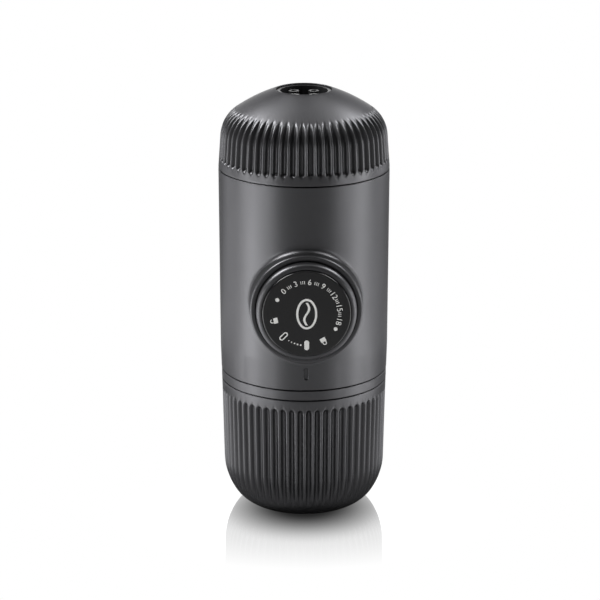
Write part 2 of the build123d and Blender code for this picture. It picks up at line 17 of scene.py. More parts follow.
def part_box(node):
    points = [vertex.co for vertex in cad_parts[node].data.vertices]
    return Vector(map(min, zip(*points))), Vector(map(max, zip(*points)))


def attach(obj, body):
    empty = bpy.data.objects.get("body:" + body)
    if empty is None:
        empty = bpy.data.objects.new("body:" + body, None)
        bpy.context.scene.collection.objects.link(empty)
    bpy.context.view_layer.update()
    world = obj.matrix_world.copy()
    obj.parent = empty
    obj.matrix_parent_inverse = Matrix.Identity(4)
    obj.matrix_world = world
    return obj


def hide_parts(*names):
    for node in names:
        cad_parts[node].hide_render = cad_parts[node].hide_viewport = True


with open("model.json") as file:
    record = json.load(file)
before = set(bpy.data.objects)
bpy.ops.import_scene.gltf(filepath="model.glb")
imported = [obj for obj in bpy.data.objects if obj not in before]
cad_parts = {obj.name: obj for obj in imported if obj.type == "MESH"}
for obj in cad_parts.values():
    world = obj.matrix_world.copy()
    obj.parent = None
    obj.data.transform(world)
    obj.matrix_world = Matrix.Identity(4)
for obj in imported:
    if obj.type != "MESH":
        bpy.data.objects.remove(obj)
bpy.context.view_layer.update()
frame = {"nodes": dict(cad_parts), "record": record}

bl_info = {
    "name": "Handheld espresso maker",
    "version": (1, 0, 0),
    "blender": (4, 5, 0),
    "location": "3D View > Sidebar > Espresso",
    "description": "Builds the casings, knob, threads and studio of a hand-pumped espresso maker",
    "category": "Object",
}

MM = 0.001
UP = Vector((0, 0, 1))
ORIGIN = Vector((0, 0, 0))


# ------------------------------------------------------------------ places read from the frame
def low(node):
    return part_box(node)[0]


def high(node):
    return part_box(node)[1]


HEAD_LOW = low("head_cap").z
HEAD_TOP = high("head_cap").z
BODY_LOW = low("body_shell").z
BODY_TOP = high("body_shell").z
COLLAR_LOW = low("tank_collar").z
COLLAR_TOP = high("tank_collar").z
CUP_TOP = high("cup").z
KNOB_Z = (low("dial").z + high("dial").z) / 2
DIAL_FRONT = -low("dial").y
DIAL_RADIUS = high("dial").x
KNOB_FRONT = -low("pump_knob").y
KNOB_RADIUS = high("pump_knob").x
BOSS_FRONT = -low("body_shell").y
SLEEVE_END = -high("pump_knob").y


# ------------------------------------------------------------------ settings
def length(name, millimetres, description):
    """A length setting, given in millimetres and kept in metres."""
    return FloatProperty(name=name, description=description, default=millimetres * MM,
                         unit="LENGTH")


def linear(hex_colour):
    """sRGB hex colour as linear red, green, blue and alpha."""
    channels = [int(hex_colour[i:i + 2], 16) / 255 for i in (1, 3, 5)]
    return [c / 12.92 if c <= 0.04045 else ((c + 0.055) / 1.055) ** 2.4 for c in channels] + [1.0]


def colour(name, hex_colour, description):
    """A colour setting, given as sRGB hex."""
    return FloatVectorProperty(name=name, description=description, default=linear(hex_colour),
                               size=4, subtype="COLOR", min=0, max=1)


def angle_of(name, degrees, description):
    """An angle setting, given in degrees and kept in radians."""
    return FloatProperty(name=name, description=description, default=radians(degrees),
                         subtype="ANGLE")


def share_of(name, value, description):
    """A setting between nothing and the whole."""
    return FloatProperty(name=name, description=description, default=value, min=0, max=1)


def number_of(name, value, description, least=1):
    """A whole number as a setting."""
    return IntProperty(name=name, description=description, default=value, min=least)


class CasingSizes(bpy.types.PropertyGroup):
    """Outlines of the head, the body, the collar and the cup."""
    body_radius: length("Body radius", 31.0, "Radius of the body at its top edge")
    waist_radius: length("Waist radius", 30.75, "Radius where the lower taper starts")
    foot_radius: length("Body foot radius", 30.5, "Radius of the body at its lower edge")
    foot_taper: length("Foot taper", 9.0, "Height of the lower taper")
    body_bore: length("Body bore", 28.5, "Inner radius of the body")
    head_draft: length("Head draft", 0.85, "Radius lost over the head's skirt")
    head_skirt: length("Head skirt", 12.0, "Height of the straight skirt of the head")
    shoulder_inset: length("Shoulder inset", 6.0, "Radius lost by the end of the shoulder arc")
    shoulder_height: length("Shoulder height", 21.0, "Height of the end of the shoulder arc")
    mouth_radius: length("Mouth radius", 10.0, "Radius of the opening in the crown")
    mouth_round: length("Mouth rounding", 0.25, "Rounding of the mouth's edge")
    head_wall: length("Head wall", 2.3, "Wall of the head")
    collar_radius: length("Collar radius", 30.4, "Radius of the band between body and cup")
    collar_bore: length("Collar bore", 26.1, "Inner radius of that band")
    rim_radius: length("Cup rim radius", 30.35, "Radius of the cup at its rim")
    cup_wall_radius: length("Cup wall end", 29.7, "Radius where the cup's straight wall ends")
    cup_wall_start: length("Cup wall start", 17.0, "Height where the cup's straight wall ends")
    knee_radius: length("Cup knee radius", 26.0, "Radius between the cup's two lower arcs")
    knee_height: length("Cup knee height", 5.0, "Height between those two arcs")
    foot_disc: length("Cup foot radius", 19.5, "Radius of the cup's flat foot")
    cup_wall: length("Cup wall", 3.0, "Wall of the cup")
    edge_round: length("Seam rounding", 0.3, "Rounding of the edges beside each seam")


class FluteSizes(bpy.types.PropertyGroup):
    """Grip flutes, cut with a ball-nosed tool that follows the wall and then leaves it."""
    count: number_of("Flutes", 60, "Number of flutes round each casing", least=12)
    columns: number_of("Columns", 18, "Mesh columns across one flute and its rib")
    tool_radius: length("Tool radius", 0.75, "Radius of the round flute floor")
    depth: length("Depth", 1.3, "Depth of the floor below the wall")
    crest: length("Crest softness", 0.5, "Softness of the rib's edges")
    fade: FloatProperty(name="Fade", default=1.45, min=0.5,
                        description="How slowly the floor rises out of the wall")
    head_start: length("Head start", 4.6, "Run from the edge to the middle of a flute's round end")
    head_leave: share_of("Head leave", 0.44, "Share of the shoulder arc that the floor follows")
    head_turn: angle_of("Head turn", 3.0, "Turn of the head's flutes, so that a rib faces -Y")
    cup_start: length("Cup start", 5.1, "Run from the rim to the middle of a flute's round end")
    cup_leave: share_of("Cup leave", 0.17, "Share of the large lower arc that the floor follows")
    cup_turn: angle_of("Cup turn", 2.0, "Turn of the cup's flutes")


class KnobSizes(bpy.types.PropertyGroup):
    """The knob, its dial, the boss round them and the index mark."""
    boss_radius: length("Boss radius", 20.0, "Outer radius of the boss")
    boss_fillet: length("Boss fillet", 2.4, "Fillet between boss and casing")
    boss_edge: length("Boss edge", 0.8, "Rounding of the boss's front edge")
    boss_lip: length("Boss lip", 0.25, "Rounding of the edge of the knob's hole")
    boss_bore: length("Boss bore", 18.05, "Radius of the knob's hole")
    boss_tube: length("Boss tube", 19.4, "Outer radius of the tube inside the casing")
    boss_root: length("Boss root", 20.0, "Distance of the tube's inner end from the body's axis")
    knob_edge: length("Knob edge", 1.8, "Rounding of the knob's front edge")
    face_wall: length("Face wall", 2.6, "Thickness of the knob's face behind the dial")
    sleeve_radius: length("Sleeve radius", 12.6, "Outer radius of the guide sleeve")
    sleeve_wall: length("Sleeve wall", 1.1, "Thickness of the guide sleeve")
    hub_radius: length("Hub radius", 6.0, "Outer radius of the rod's hub")
    hub_bore: length("Hub bore", 3.65, "Bore of the rod's hub")
    hub_length: length("Hub length", 5.0, "Length of the rod's hub")
    screw_hole: length("Screw hole", 1.75, "Radius of the hole for the knob's screw")
    screw_head: length("Screw head hole", 3.35, "Radius of the sink for the screw's head")
    screw_seat: length("Screw seat", 1.05, "Depth of that sink")
    dial_depth: length("Dial depth", 2.0, "Thickness of the dial")
    knob_skirt: length("Knob skirt", 12.0, "Length of the knob's outer wall")
    knob_wall: length("Knob wall", 1.7, "Thickness of that wall")
    dial_edge: length("Dial edge", 0.5, "Rounding of the dial's edge")
    print_height: length("Print height", 0.06, "Height of the printed marks over the dial")
    mark_radius: length("Mark radius", 11.6, "Distance of the marks from the knob's axis")
    tick_length: length("Index length", 4.8, "Length of the index mark under the boss")
    tick_width: length("Index width", 1.9, "Width of the index mark")
    tick_depth: length("Index depth", 0.5, "Depth of the index mark")
    tick_rise: length("Index rise", 6.35, "Middle of the index mark above the body's lower edge")


class ThreadSizes(bpy.types.PropertyGroup):
    """Threads between head and neck, and between tank and socket."""
    lead: length("Lead", 3.1, "Rise of one turn")
    turns: number_of("Turns", 2, "Turns of each thread")
    steps: number_of("Steps", 96, "Mesh steps in one turn", least=24)
    crest: length("Crest width", 0.6, "Width of the ridge's flat crest")
    bite: length("Bite", 0.3, "Depth to which a ridge is sunk into its wall")
    fade: angle_of("Fade", 25, "Angle over which each end of a ridge rises")
    neck_start: length("Neck start", 2.2, "Start of the neck's thread above the body")
    neck_depth: length("Neck depth", 0.35, "Height of the ridges round the neck")
    tank_start: length("Tank start", 1.4, "Start of the tank's thread above its band")
    tank_depth: length("Tank depth", 0.3, "Height of the ridges round the tank's neck")


class Finishes(bpy.types.PropertyGroup):
    """Colours of the materials."""
    casing: colour("Casing", "#535355", "Graphite-grey ABS of the casings")
    black: colour("Black nylon", "#1b1b1c", "Black glass-filled nylon of the inner parts")
    dial: colour("Dial", "#161617", "Black acrylic of the dial")
    ink: colour("Ink", "#f2f2ef", "White ink of the printed marks")
    silicone: colour("Silicone", "#232324", "Dark silicone of the rings")
    tank: colour("Tank", "#8d9296", "Smoke-grey copolyester of the water tank")
    steel: colour("Steel", "#c9c8c4", "Stainless steel")
    floor: colour("Floor", "#ffffff", "White acrylic floor")


class StageSettings(bpy.types.PropertyGroup):
    """The camera's place and lens."""
    camera_distance: length("Camera distance", 847.1, "Level distance from the axis to the camera")
    camera_height: length("Camera height", 336.4, "Height of the camera above the floor")
    camera_side: length("Camera side", -1.46, "Sideways place of the camera")
    camera_turn: angle_of("Camera turn", -1.3, "Turn of the camera round the object")
    camera_pitch: angle_of("Camera pitch", 17.04, "How far the camera looks down")
    focal_length: FloatProperty(name="Focal length", default=144.4, unit="CAMERA",
                                description="Lens in millimetres, for a sensor 36 mm wide")


# ------------------------------------------------------------------ modelling helpers
SAME_PLACE = 1e-7              # metres; points this close are one point
WELD = 0.002 * MM              # doubles within this distance are merged,
SECTOR_WELD = 0.0005 * MM      # within this in one sector of a fluted casing,
TEXT_WELD = 0.0001 * MM        # and within this in text
SHARP_EDGE = radians(35)       # an edge that bends more than this stays sharp


def only(*objects):
    """Selects these objects alone and makes the first one active."""
    bpy.ops.object.select_all(action="DESELECT")
    for obj in objects:
        obj.select_set(True)
    bpy.context.view_layer.objects.active = objects[0]


@contextmanager
def editing(obj):
    """Edit mode on one object, with nothing selected."""
    only(obj)
    bpy.ops.object.mode_set(mode="EDIT")
    bpy.ops.mesh.select_mode(type="VERT")
    bpy.ops.mesh.select_all(action="DESELECT")
    yield
    bpy.ops.object.mode_set(mode="OBJECT")


def pick(obj, kind, test):
    """In edit mode, selects just the vertices, open edges or faces whose middle passes the test."""
    bpy.ops.mesh.select_mode(type=kind)
    bpy.ops.mesh.select_all(action="DESELECT")
    shape = bmesh.from_edit_mesh(obj.data)
    if kind == "VERT":
        for vert in shape.verts:
            vert.select = test(vert.co)
    elif kind == "EDGE":
        for edge in shape.edges:
            middle = (edge.verts[0].co + edge.verts[1].co) / 2
            edge.select = len(edge.link_faces) < 2 and test(middle)
    else:
        for face in shape.faces:
            face.select = test(face.calc_center_median())
    shape.select_flush_mode()
    bmesh.update_edit_mesh(obj.data)


def place_picked(obj, rule):
    """In edit mode, moves each selected vertex to the place that the rule gives for it."""
    shape = bmesh.from_edit_mesh(obj.data)
    for vert in shape.verts:
        if vert.select:
            vert.co = rule(vert.co)
    bmesh.update_edit_mesh(obj.data)


def newest(name):
    """Names the object that an operator has just added and puts its place into its mesh."""
    obj = bpy.context.object
    obj.name = obj.data.name = name
    only(obj)
    bpy.ops.object.transform_apply(location=True, rotation=True, scale=True)
    return obj


def draw(name, points, closed=True):
    """An edge chain through (radius, height) points in the XZ plane, extruded vertex by vertex."""
    places = [Vector((x, 0, z)) for x, z in points]
    bpy.ops.mesh.primitive_plane_add(size=MM, location=places[0])
    obj = newest(name)
    with editing(obj):
        bpy.ops.mesh.select_all(action="SELECT")
        bpy.ops.mesh.merge(type="CENTER")
        for here, there in zip(places, places[1:]):
            bpy.ops.mesh.extrude_vertices_move(TRANSFORM_OT_translate={"value": there - here})
        if closed:
            pick(obj, "VERT", lambda co: (co - places[0]).length < SAME_PLACE
                 or (co - places[-1]).length < SAME_PLACE)
            bpy.ops.mesh.edge_face_add()
    return obj


def spin(steps, angle=2 * pi, copies=False):
    """In edit mode, spins all of the mesh round Z."""
    bpy.ops.mesh.select_all(action="SELECT")
    bpy.ops.mesh.spin(steps=steps, dupli=copies, angle=angle, center=ORIGIN, axis=UP)


def close_up(gap=WELD):
    """In edit mode, merges doubles and turns all faces outwards."""
    bpy.ops.mesh.select_all(action="SELECT")
    bpy.ops.mesh.remove_doubles(threshold=gap)
    bpy.ops.mesh.normals_make_consistent(inside=False)


def turned(name, points, steps, closed=True):
    """A solid turned round Z from its section; an open section starts and ends on the axis."""
    obj = draw(name, points, closed)
    with editing(obj):
        spin(steps)
        close_up()
    return obj


def on_knob_axis(obj):
    """Turns a piece that was made round Z so that it stands on the knob's axis and faces -Y."""
    only(obj)
    obj.rotation_euler = (pi / 2, 0, 0)
    obj.location = (0, 0, KNOB_Z)
    bpy.ops.object.transform_apply(location=True, rotation=True, scale=True)


def joined(name, objects):
    """Joins the objects into the first of them and names it."""
    only(*objects)
    if len(objects) > 1:
        bpy.ops.object.join()
    obj = bpy.context.object
    obj.name = obj.data.name = name
    return obj


def shade(obj):
    """Smooth shading that keeps sharp edges, and flat faces flat beside their roundings."""
    only(obj)
    bpy.ops.object.shade_smooth_by_angle(angle=SHARP_EDGE)
    weighted = obj.modifiers.new("Weighted normals", "WEIGHTED_NORMAL")
    weighted.keep_sharp = True
    bpy.ops.object.modifier_apply(modifier=weighted.name)


# ------------------------------------------------------------------ outlines
def turn2(vector, angle):
    """A flat vector turned anticlockwise."""
    return Vector((vector.x * cos(angle) - vector.y * sin(angle),
                   vector.x * sin(angle) + vector.y * cos(angle)))


def softened(before, corner, after, reach, steps=4):
    """Points of a rounding in place of a corner, which starts and ends at that reach from it."""
    before, corner, after = Vector(before), Vector(corner), Vector(after)
    start = corner + (before - corner).normalized() * reach
    end = corner + (after - corner).normalized() * reach
    weight = sqrt((1 - (before - corner).normalized().dot((after - corner).normalized())) / 2)
    points = []
    for step in range(steps + 1):
        t = step / steps
        a, b, c = (1 - t) ** 2, 2 * t * (1 - t) * weight, t * t
        points.append((start * a + corner * b + end * c) / (a + b + c))
    return points


def section(corners, steps=4):
    """A closed section from (radius, height, rounding) corners."""
    points = []
    for i, (x, z, reach) in enumerate(corners):
        before, after = corners[i - 1][:2], corners[(i + 1) % len(corners)][:2]
        points += softened(before, (x, z), after, reach, steps) if reach else [Vector((x, z))]
    return points


class Outline:
    """A straight wall followed by arcs, each tangent to the stretch before it."""

    def __init__(self, corners, inwards):
        corners = [Vector(corner) for corner in corners]
        heading = (corners[1] - corners[0]).normalized()
        self.inwards = inwards
        self.stretches = [(corners[0], heading, 0.0, (corners[1] - corners[0]).length)]
        for start, end in zip(corners[1:], corners[2:]):
            chord = end - start
            half = atan2(heading.x * chord.y - heading.y * chord.x, heading.dot(chord))
            curvature = 2 * sin(half) / chord.length
            self.stretches.append((start, heading, curvature, 2 * half / curvature))
            heading = turn2(heading, 2 * half)
        self.length = sum(reach for *_, reach in self.stretches)

    def at(self, run):
        """The point at that run along the outline, and the direction into the wall there."""
        for start, heading, curvature, reach in self.stretches:
            if run <= reach:
                break
            run -= reach
        else:
            run += reach
        turn = curvature * run
        step = 2 * sin(turn / 2) / curvature if curvature else run
        return start + turn2(heading, turn / 2) * step, turn2(heading, turn + self.inwards)


def stations(*stretches):
    """Runs along an outline, from stretches of (start, end, largest spacing)."""
    runs = []
    for start, end, spacing in stretches:
        count = ceil((end - start) / spacing - 1e-6)      # a whole number of spacings stays whole
        runs += [start + (end - start) * i / count for i in range(count)]
    return runs + [stretches[-1][1]]


# ------------------------------------------------------------------ fluted casings
STEEP = 1.6                    # slope of a flute's side beside the tool's round nose
ENTRY = 0.75                   # how steep a flute's round end is, compared with its sides
IN_FLUTE = 0.7                 # share of the mesh columns that lie in the flute
NARROWEST = 0.4                # least width of those columns, as a share of a full flute's
WIDEST = 0.85                  # their largest width, as a share of half the pitch
ON_WALL = 0.01 * MM            # how near to the outline a vertex of the outer wall lies
# Largest spacing of the mesh rows: beside the casing's edge, at the flute's round end, on the
# straight wall, on the arc that the flute follows, where it fades, past it, and on the inner wall.
EDGE_ROWS, END_ROWS, WALL_ROWS = 1.2 * MM, 0.22 * MM, 2.2 * MM
ARC_ROWS, FADE_ROWS, SMOOTH_ROWS, INNER_ROWS = 0.8 * MM, 0.55 * MM, 1.4 * MM, 2.5 * MM
MOUTH_STEP = 1.5 * MM          # how far the head's inner wall stops short of the mouth
RIM_REACH = 0.1 * MM           # how near to its level an open rim of the cup is looked for


class Flute:
    """A flute cut by a round-nosed tool.

    The tool enters the wall, follows it and leaves the first arc on a curve tangent to it.
    """

    def __init__(self, outline, sizes, start, leave):
        self.tool, self.depth, self.crest = sizes.tool_radius, sizes.depth, sizes.crest
        self.outline, self.start = outline, start
        self.leave_run = outline.stretches[0][3] + outline.stretches[1][3] * leave
        self.floor_radius = sizes.fade / abs(outline.stretches[1][2]) - self.depth
        self.end_run = self.leave_run + sqrt(2 * self.floor_radius * (self.depth + self.crest))
        self.side_start = self.tool * STEEP / hypot(1, STEEP)
        self.side_rise = self.tool - self.tool / hypot(1, STEEP)

    def floor(self, run):
        """Depth of the tool's lowest point under the wall, negative once it is out."""
        return self.depth - max(0, run - self.leave_run) ** 2 / (2 * self.floor_radius)

    def cut(self, across, run):
        """How deep the wall is cut at that distance from the flute's middle."""
        off = hypot(across, max(0, self.start - run) * ENTRY)
        if off < self.side_start:
            rise = self.tool - sqrt(self.tool ** 2 - off ** 2)
        else:
            rise = self.side_rise + STEEP * (off - self.side_start)
        depth = self.floor(run) - rise
        if depth <= -self.crest:
            return 0
        return depth if depth >= self.crest else (depth + self.crest) ** 2 / (4 * self.crest)

    def half_width(self, run):
        """Distance from the flute's middle to where it starts to cut."""
        rise = self.floor(run) + self.crest
        if rise <= 0:
            return 0
        if rise >= self.side_rise:
            reach = self.side_start + (rise - self.side_rise) / STEEP
        else:
            reach = sqrt(self.tool ** 2 - (self.tool - rise) ** 2)
        return sqrt(max(0, reach ** 2 - (max(0, self.start - run) * ENTRY) ** 2))

    def rows(self, first, last):
        """Runs of the wall's mesh rows, close together where the flute begins and fades."""
        enter = self.start - (self.tool + self.crest) / ENTRY
        wall = self.outline.stretches[0][3]
        return stations(
            (first, enter, EDGE_ROWS), (enter, self.start, END_ROWS), (self.start, wall, WALL_ROWS),
            (wall, self.leave_run, ARC_ROWS), (self.leave_run, self.end_run, FADE_ROWS),
            (self.end_run, last, SMOOTH_ROWS))


def column_place(share, half_width, half_pitch):
    """Distance of a mesh column from the flute's middle, so that columns follow its edges."""
    half_width = min(half_width, half_pitch * WIDEST)
    if share <= IN_FLUTE:
        return half_width * share / IN_FLUTE
    return half_width + (half_pitch - half_width) * (share - IN_FLUTE) / (1 - IN_FLUTE)


def fluted(name, flute, rows, rest, sizes, turn, closed):
    """A casing with flutes: one is pressed into a sector of the wall, which is then repeated.

    rows are the runs of the outer wall, rest are the section's other points, and turn is where the
    first flute lies, from -Y.
    """
    sector = 2 * pi / sizes.count
    wall = [(flute.outline.at(run), run) for run in rows]
    widest = flute.half_width(flute.start)
    obj = draw(name, [place[0] for place, _ in wall] + rest, closed)
    with editing(obj):
        spin(sizes.columns, angle=sector)
        bpy.ops.mesh.remove_doubles(threshold=SECTOR_WELD)
    angles = [atan2(vert.co.y, vert.co.x) for vert in obj.data.vertices
              if hypot(vert.co.x, vert.co.y) > MM]
    middle = (min(angles) + max(angles)) / 2
    for vert in obj.data.vertices:
        radius = hypot(vert.co.x, vert.co.y)
        here = Vector((radius, vert.co.z))
        (point, inward), run = min(wall, key=lambda row: (row[0][0] - here).length)
        if (point - here).length > ON_WALL:
            continue
        angle = atan2(vert.co.y, vert.co.x) - middle
        half_width = max(flute.half_width(run), widest * NARROWEST)
        across = column_place(abs(angle) / (sector / 2), half_width, radius * sector / 2)
        depth = flute.cut(across, run)
        turned_to = middle + copysign(across / radius, angle)
        outwards = Vector((cos(turned_to), sin(turned_to), 0))
        vert.co = outwards * (radius + inward.x * depth) + UP * (vert.co.z + inward.y * depth)
    obj.rotation_euler.z = turn - pi / 2 - middle
    newest(name)
    with editing(obj):
        spin(sizes.count - 1, angle=2 * pi - sector, copies=True)
        close_up()
    return obj


def moved_in(outline, run, distance):
    """The point at that run, moved into the wall."""
    point, inward = outline.at(run)
    return point + inward * distance


def head_cap(casing, flutes):
    """The outlet head's shell, open at the crown and below."""
    outline = Outline([
        (casing.body_radius, HEAD_LOW),
        (casing.body_radius - casing.head_draft, HEAD_LOW + casing.head_skirt),
        (casing.body_radius - casing.shoulder_inset, HEAD_LOW + casing.shoulder_height),
        (casing.mouth_radius, HEAD_TOP)], inwards=pi / 2)
    flute = Flute(outline, flutes, flutes.head_start, flutes.head_leave)
    last = outline.length - casing.mouth_round
    rows = flute.rows(casing.edge_round, last)
    mouth = softened(outline.at(last)[0], (casing.mouth_radius, HEAD_TOP),
                     (casing.mouth_radius, HEAD_LOW), casing.mouth_round)
    inside = [moved_in(outline, run, casing.head_wall)
              for run in reversed(stations((0, outline.length - MOUTH_STEP, INNER_ROWS)))]
    inside[-1].y = HEAD_LOW
    edge = softened(inside[-1], (casing.body_radius, HEAD_LOW), outline.at(rows[0])[0],
                    casing.edge_round)
    rest = mouth[1:] + [Vector((casing.mouth_radius, inside[0].y))] + inside + edge[:-1]
    return fluted("head_cap_shell", flute, rows, rest, flutes, flutes.head_turn, closed=True)


def cup(casing, flutes):
    """The cup, from its foot's rim outside to its floor inside, with both discs filled last."""
    outline = Outline([
        (casing.rim_radius, CUP_TOP),
        (casing.cup_wall_radius, casing.cup_wall_start),
        (casing.knee_radius, casing.knee_height),
        (casing.foot_disc, 0)], inwards=-pi / 2)
    flute = Flute(outline, flutes, flutes.cup_start, flutes.cup_leave)
    rows = flute.rows(casing.edge_round, outline.length)
    inside = [moved_in(outline, run, casing.cup_wall)
              for run in stations((0, outline.length, INNER_ROWS))]
    inside[0].y = CUP_TOP
    edge = softened(inside[0], (casing.rim_radius, CUP_TOP), outline.at(rows[0])[0],
                    casing.edge_round)
    lip = softened(inside[1], inside[0], edge[0], casing.edge_round)
    rows.reverse()
    rest = list(reversed(edge[:-1])) + list(reversed(lip)) + inside[1:]
    obj = fluted("cup_shell", flute, rows, rest, flutes, flutes.cup_turn, closed=False)
    with editing(obj):
        for height in (0, inside[-1].y):
            pick(obj, "EDGE", lambda co: abs(co.z - height) < RIM_REACH)
            bpy.ops.mesh.edge_face_add()
        close_up()
    return obj


# ------------------------------------------------------------------ body and knob
BODY_STEPS = 144               # mesh columns round the body, the knob and the dial
WINDOW_COLUMNS, WINDOW_ROWS = 40, 38      # the boss's window in the body's mesh
INDEX_COLUMNS, INDEX_ROWS = 4, 6          # the index mark's window
INDEX_MARGIN = 0.4 * MM        # how much further that window reaches below the mark than above it
FOOT_ROWS, TOP_ROWS = 1.0 * MM, 1.6 * MM  # largest spacing of the rows below and above the windows
SKIN = 0.03 * MM               # a face of the casing's outer surface lies this near to it
SLOPE_STEP = 0.01 * MM         # half the stretch over which a slope is measured
DIAL_GAP = 0.1 * MM            # gap between the dial and the knob's rim
DIAL_SEAT = 0.05 * MM          # gap behind the dial


def casing_radius(casing, height):
    """Outer radius of the body at a height."""
    rise = height - BODY_LOW
    if rise < casing.foot_taper:
        gain = casing.waist_radius - casing.foot_radius
        return casing.foot_radius + gain * rise / casing.foot_taper
    share = (rise - casing.foot_taper) / (BODY_TOP - BODY_LOW - casing.foot_taper)
    return casing.waist_radius + (casing.body_radius - casing.waist_radius) * share


def on_casing(casing, x, height):
    """The point at that place on the casing's front half."""
    return Vector((x, -sqrt(casing_radius(casing, height) ** 2 - x * x), height))


def casing_tube(casing, knob):
    """The body without its boss, and the heights between which its two windows lie."""
    window_low = BODY_LOW + casing.foot_taper
    window_high = 2 * KNOB_Z - window_low
    index_low = 2 * (BODY_LOW + knob.tick_rise) - window_low - INDEX_MARGIN
    heights = stations(
        (BODY_LOW + casing.edge_round, index_low, FOOT_ROWS),
        (index_low, window_low, (window_low - index_low) / INDEX_ROWS),
        (window_low, window_high, (window_high - window_low) / WINDOW_ROWS),
        (window_high, BODY_TOP - casing.edge_round, TOP_ROWS))
    outside = [Vector((casing_radius(casing, z), z)) for z in heights]
    inside = [Vector((casing.body_bore, z)) for z in reversed(heights)]
    inner_foot = Vector((casing.body_bore, BODY_LOW))
    inner_top = Vector((casing.body_bore, BODY_TOP))
    foot = softened(inner_foot, (casing.foot_radius, BODY_LOW), outside[0], casing.edge_round)
    top = softened(outside[-1], (casing.body_radius, BODY_TOP), inner_top, casing.edge_round)
    points = foot[:-1] + outside + top[1:] + [inner_top] + inside + [inner_foot]
    return turned("body_casing", points, BODY_STEPS), (index_low, window_low, window_high)


def in_window(co, columns, low_z, high_z):
    """Whether a point lies in a window of the casing's front, so many mesh columns wide."""
    half = columns * pi / BODY_STEPS
    return abs(atan2(co.x, -co.y)) < half and low_z < co.z < high_z


def cut_index(obj, casing, knob, index_low, window_low):
    """The index mark under the boss: a capsule with a flat floor, sunk into the casing."""
    radius = knob.tick_width / 2
    straight = knob.tick_length / 2 - radius
    middle = BODY_LOW + knob.tick_rise
    count = INDEX_COLUMNS + INDEX_ROWS
    quarter = [pi / 2 * i / 3 for i in range(4)]
    right = [(radius, straight * i / 2) for i in (0, 1)]
    right += [(radius * cos(a), straight + radius * sin(a)) for a in quarter]
    upper = right + [(-x, z) for x, z in reversed(right[:-1])]
    loop = upper + [(x, -z) for x, z in reversed(upper[1:-1])]
    assert len(loop) == 2 * count, "the index mark's loop must match its window"
    mark = draw("index_mark", [(x, middle + z) for x, z in loop])

    def sunk(depth, shrink):
        """Rule that moves the mark's loop to that depth, shrunk by the same length all round."""
        def rule(co):
            x = co.x * shrink
            height = middle + (co.z - middle) * (1 - (1 - shrink) * radius / (straight + radius))
            point = on_casing(casing, x, height)
            return Vector((point.x, point.y, 0)) * (1 - depth / casing.foot_radius) + UP * height
        return rule

    with editing(mark):
        bpy.ops.mesh.select_all(action="SELECT")
        place_picked(mark, sunk(0, 1))
        # A chamfered rim, the wall and a softened edge of the floor.
        rim, above_floor, floor = 0.07 * MM, knob.tick_depth - 0.1 * MM, knob.tick_depth
        for depth, shrink in ((rim, 0.93), (above_floor, 0.97), (floor, 0.9)):
            bpy.ops.mesh.extrude_region_move()
            place_picked(mark, sunk(depth, shrink))
        bpy.ops.mesh.edge_face_add()
    joined("body_casing", [obj, mark])
    with editing(obj):
        pick(obj, "FACE", lambda co: hypot(co.x, co.y) > casing.body_bore + casing.edge_round
             and co.y < 0 and in_window(co, INDEX_COLUMNS, index_low, window_low)
             and hypot(co.x, co.y) > casing_radius(casing, co.z) - SKIN)
        bpy.ops.mesh.delete(type="FACE")
        pick(obj, "EDGE", lambda co: True)
        bpy.ops.mesh.bridge_edge_loops(number_cuts=1, interpolation="LINEAR")
        place_picked(obj, lambda co: on_casing(casing, co.x, co.z))


def boss_section(casing, knob, angle):
    """The boss cut through the knob's axis at that angle, from the casing to the tube inside.

    Each point is its distance from the knob's axis and from the plane of the body's axis.
    """
    def reach(radius, wall=None):
        wall = wall or casing_radius(casing, KNOB_Z + radius * sin(angle))
        return sqrt(wall ** 2 - (radius * cos(angle)) ** 2)

    def slope(radius):
        return (reach(radius + SLOPE_STEP) - reach(radius - SLOPE_STEP)) / (2 * SLOPE_STEP)

    lean = atan2(-slope(knob.boss_radius), 1)
    tangent = knob.boss_fillet * tan((pi / 2 - lean) / 2)
    start = Vector((knob.boss_radius + tangent * cos(lean), 0))
    start.y = reach(start.x)
    corner = Vector((knob.boss_radius, start.y - slope(start.x) * (start.x - knob.boss_radius)))
    front = Vector((knob.boss_radius, BOSS_FRONT))
    mouth = Vector((knob.boss_bore, BOSS_FRONT))
    root = Vector((knob.boss_bore, knob.boss_root))
    fillet = softened(start, corner, front, (start - corner).length, steps=7)
    edge = softened(corner, front, mouth, knob.boss_edge, steps=5)
    lip = softened(front, mouth, root, knob.boss_lip, steps=3)
    tube = [Vector((knob.boss_tube, knob.boss_root)),
            Vector((knob.boss_tube, reach(knob.boss_tube, casing.body_bore)))]
    return fillet + edge + lip + [root] + tube


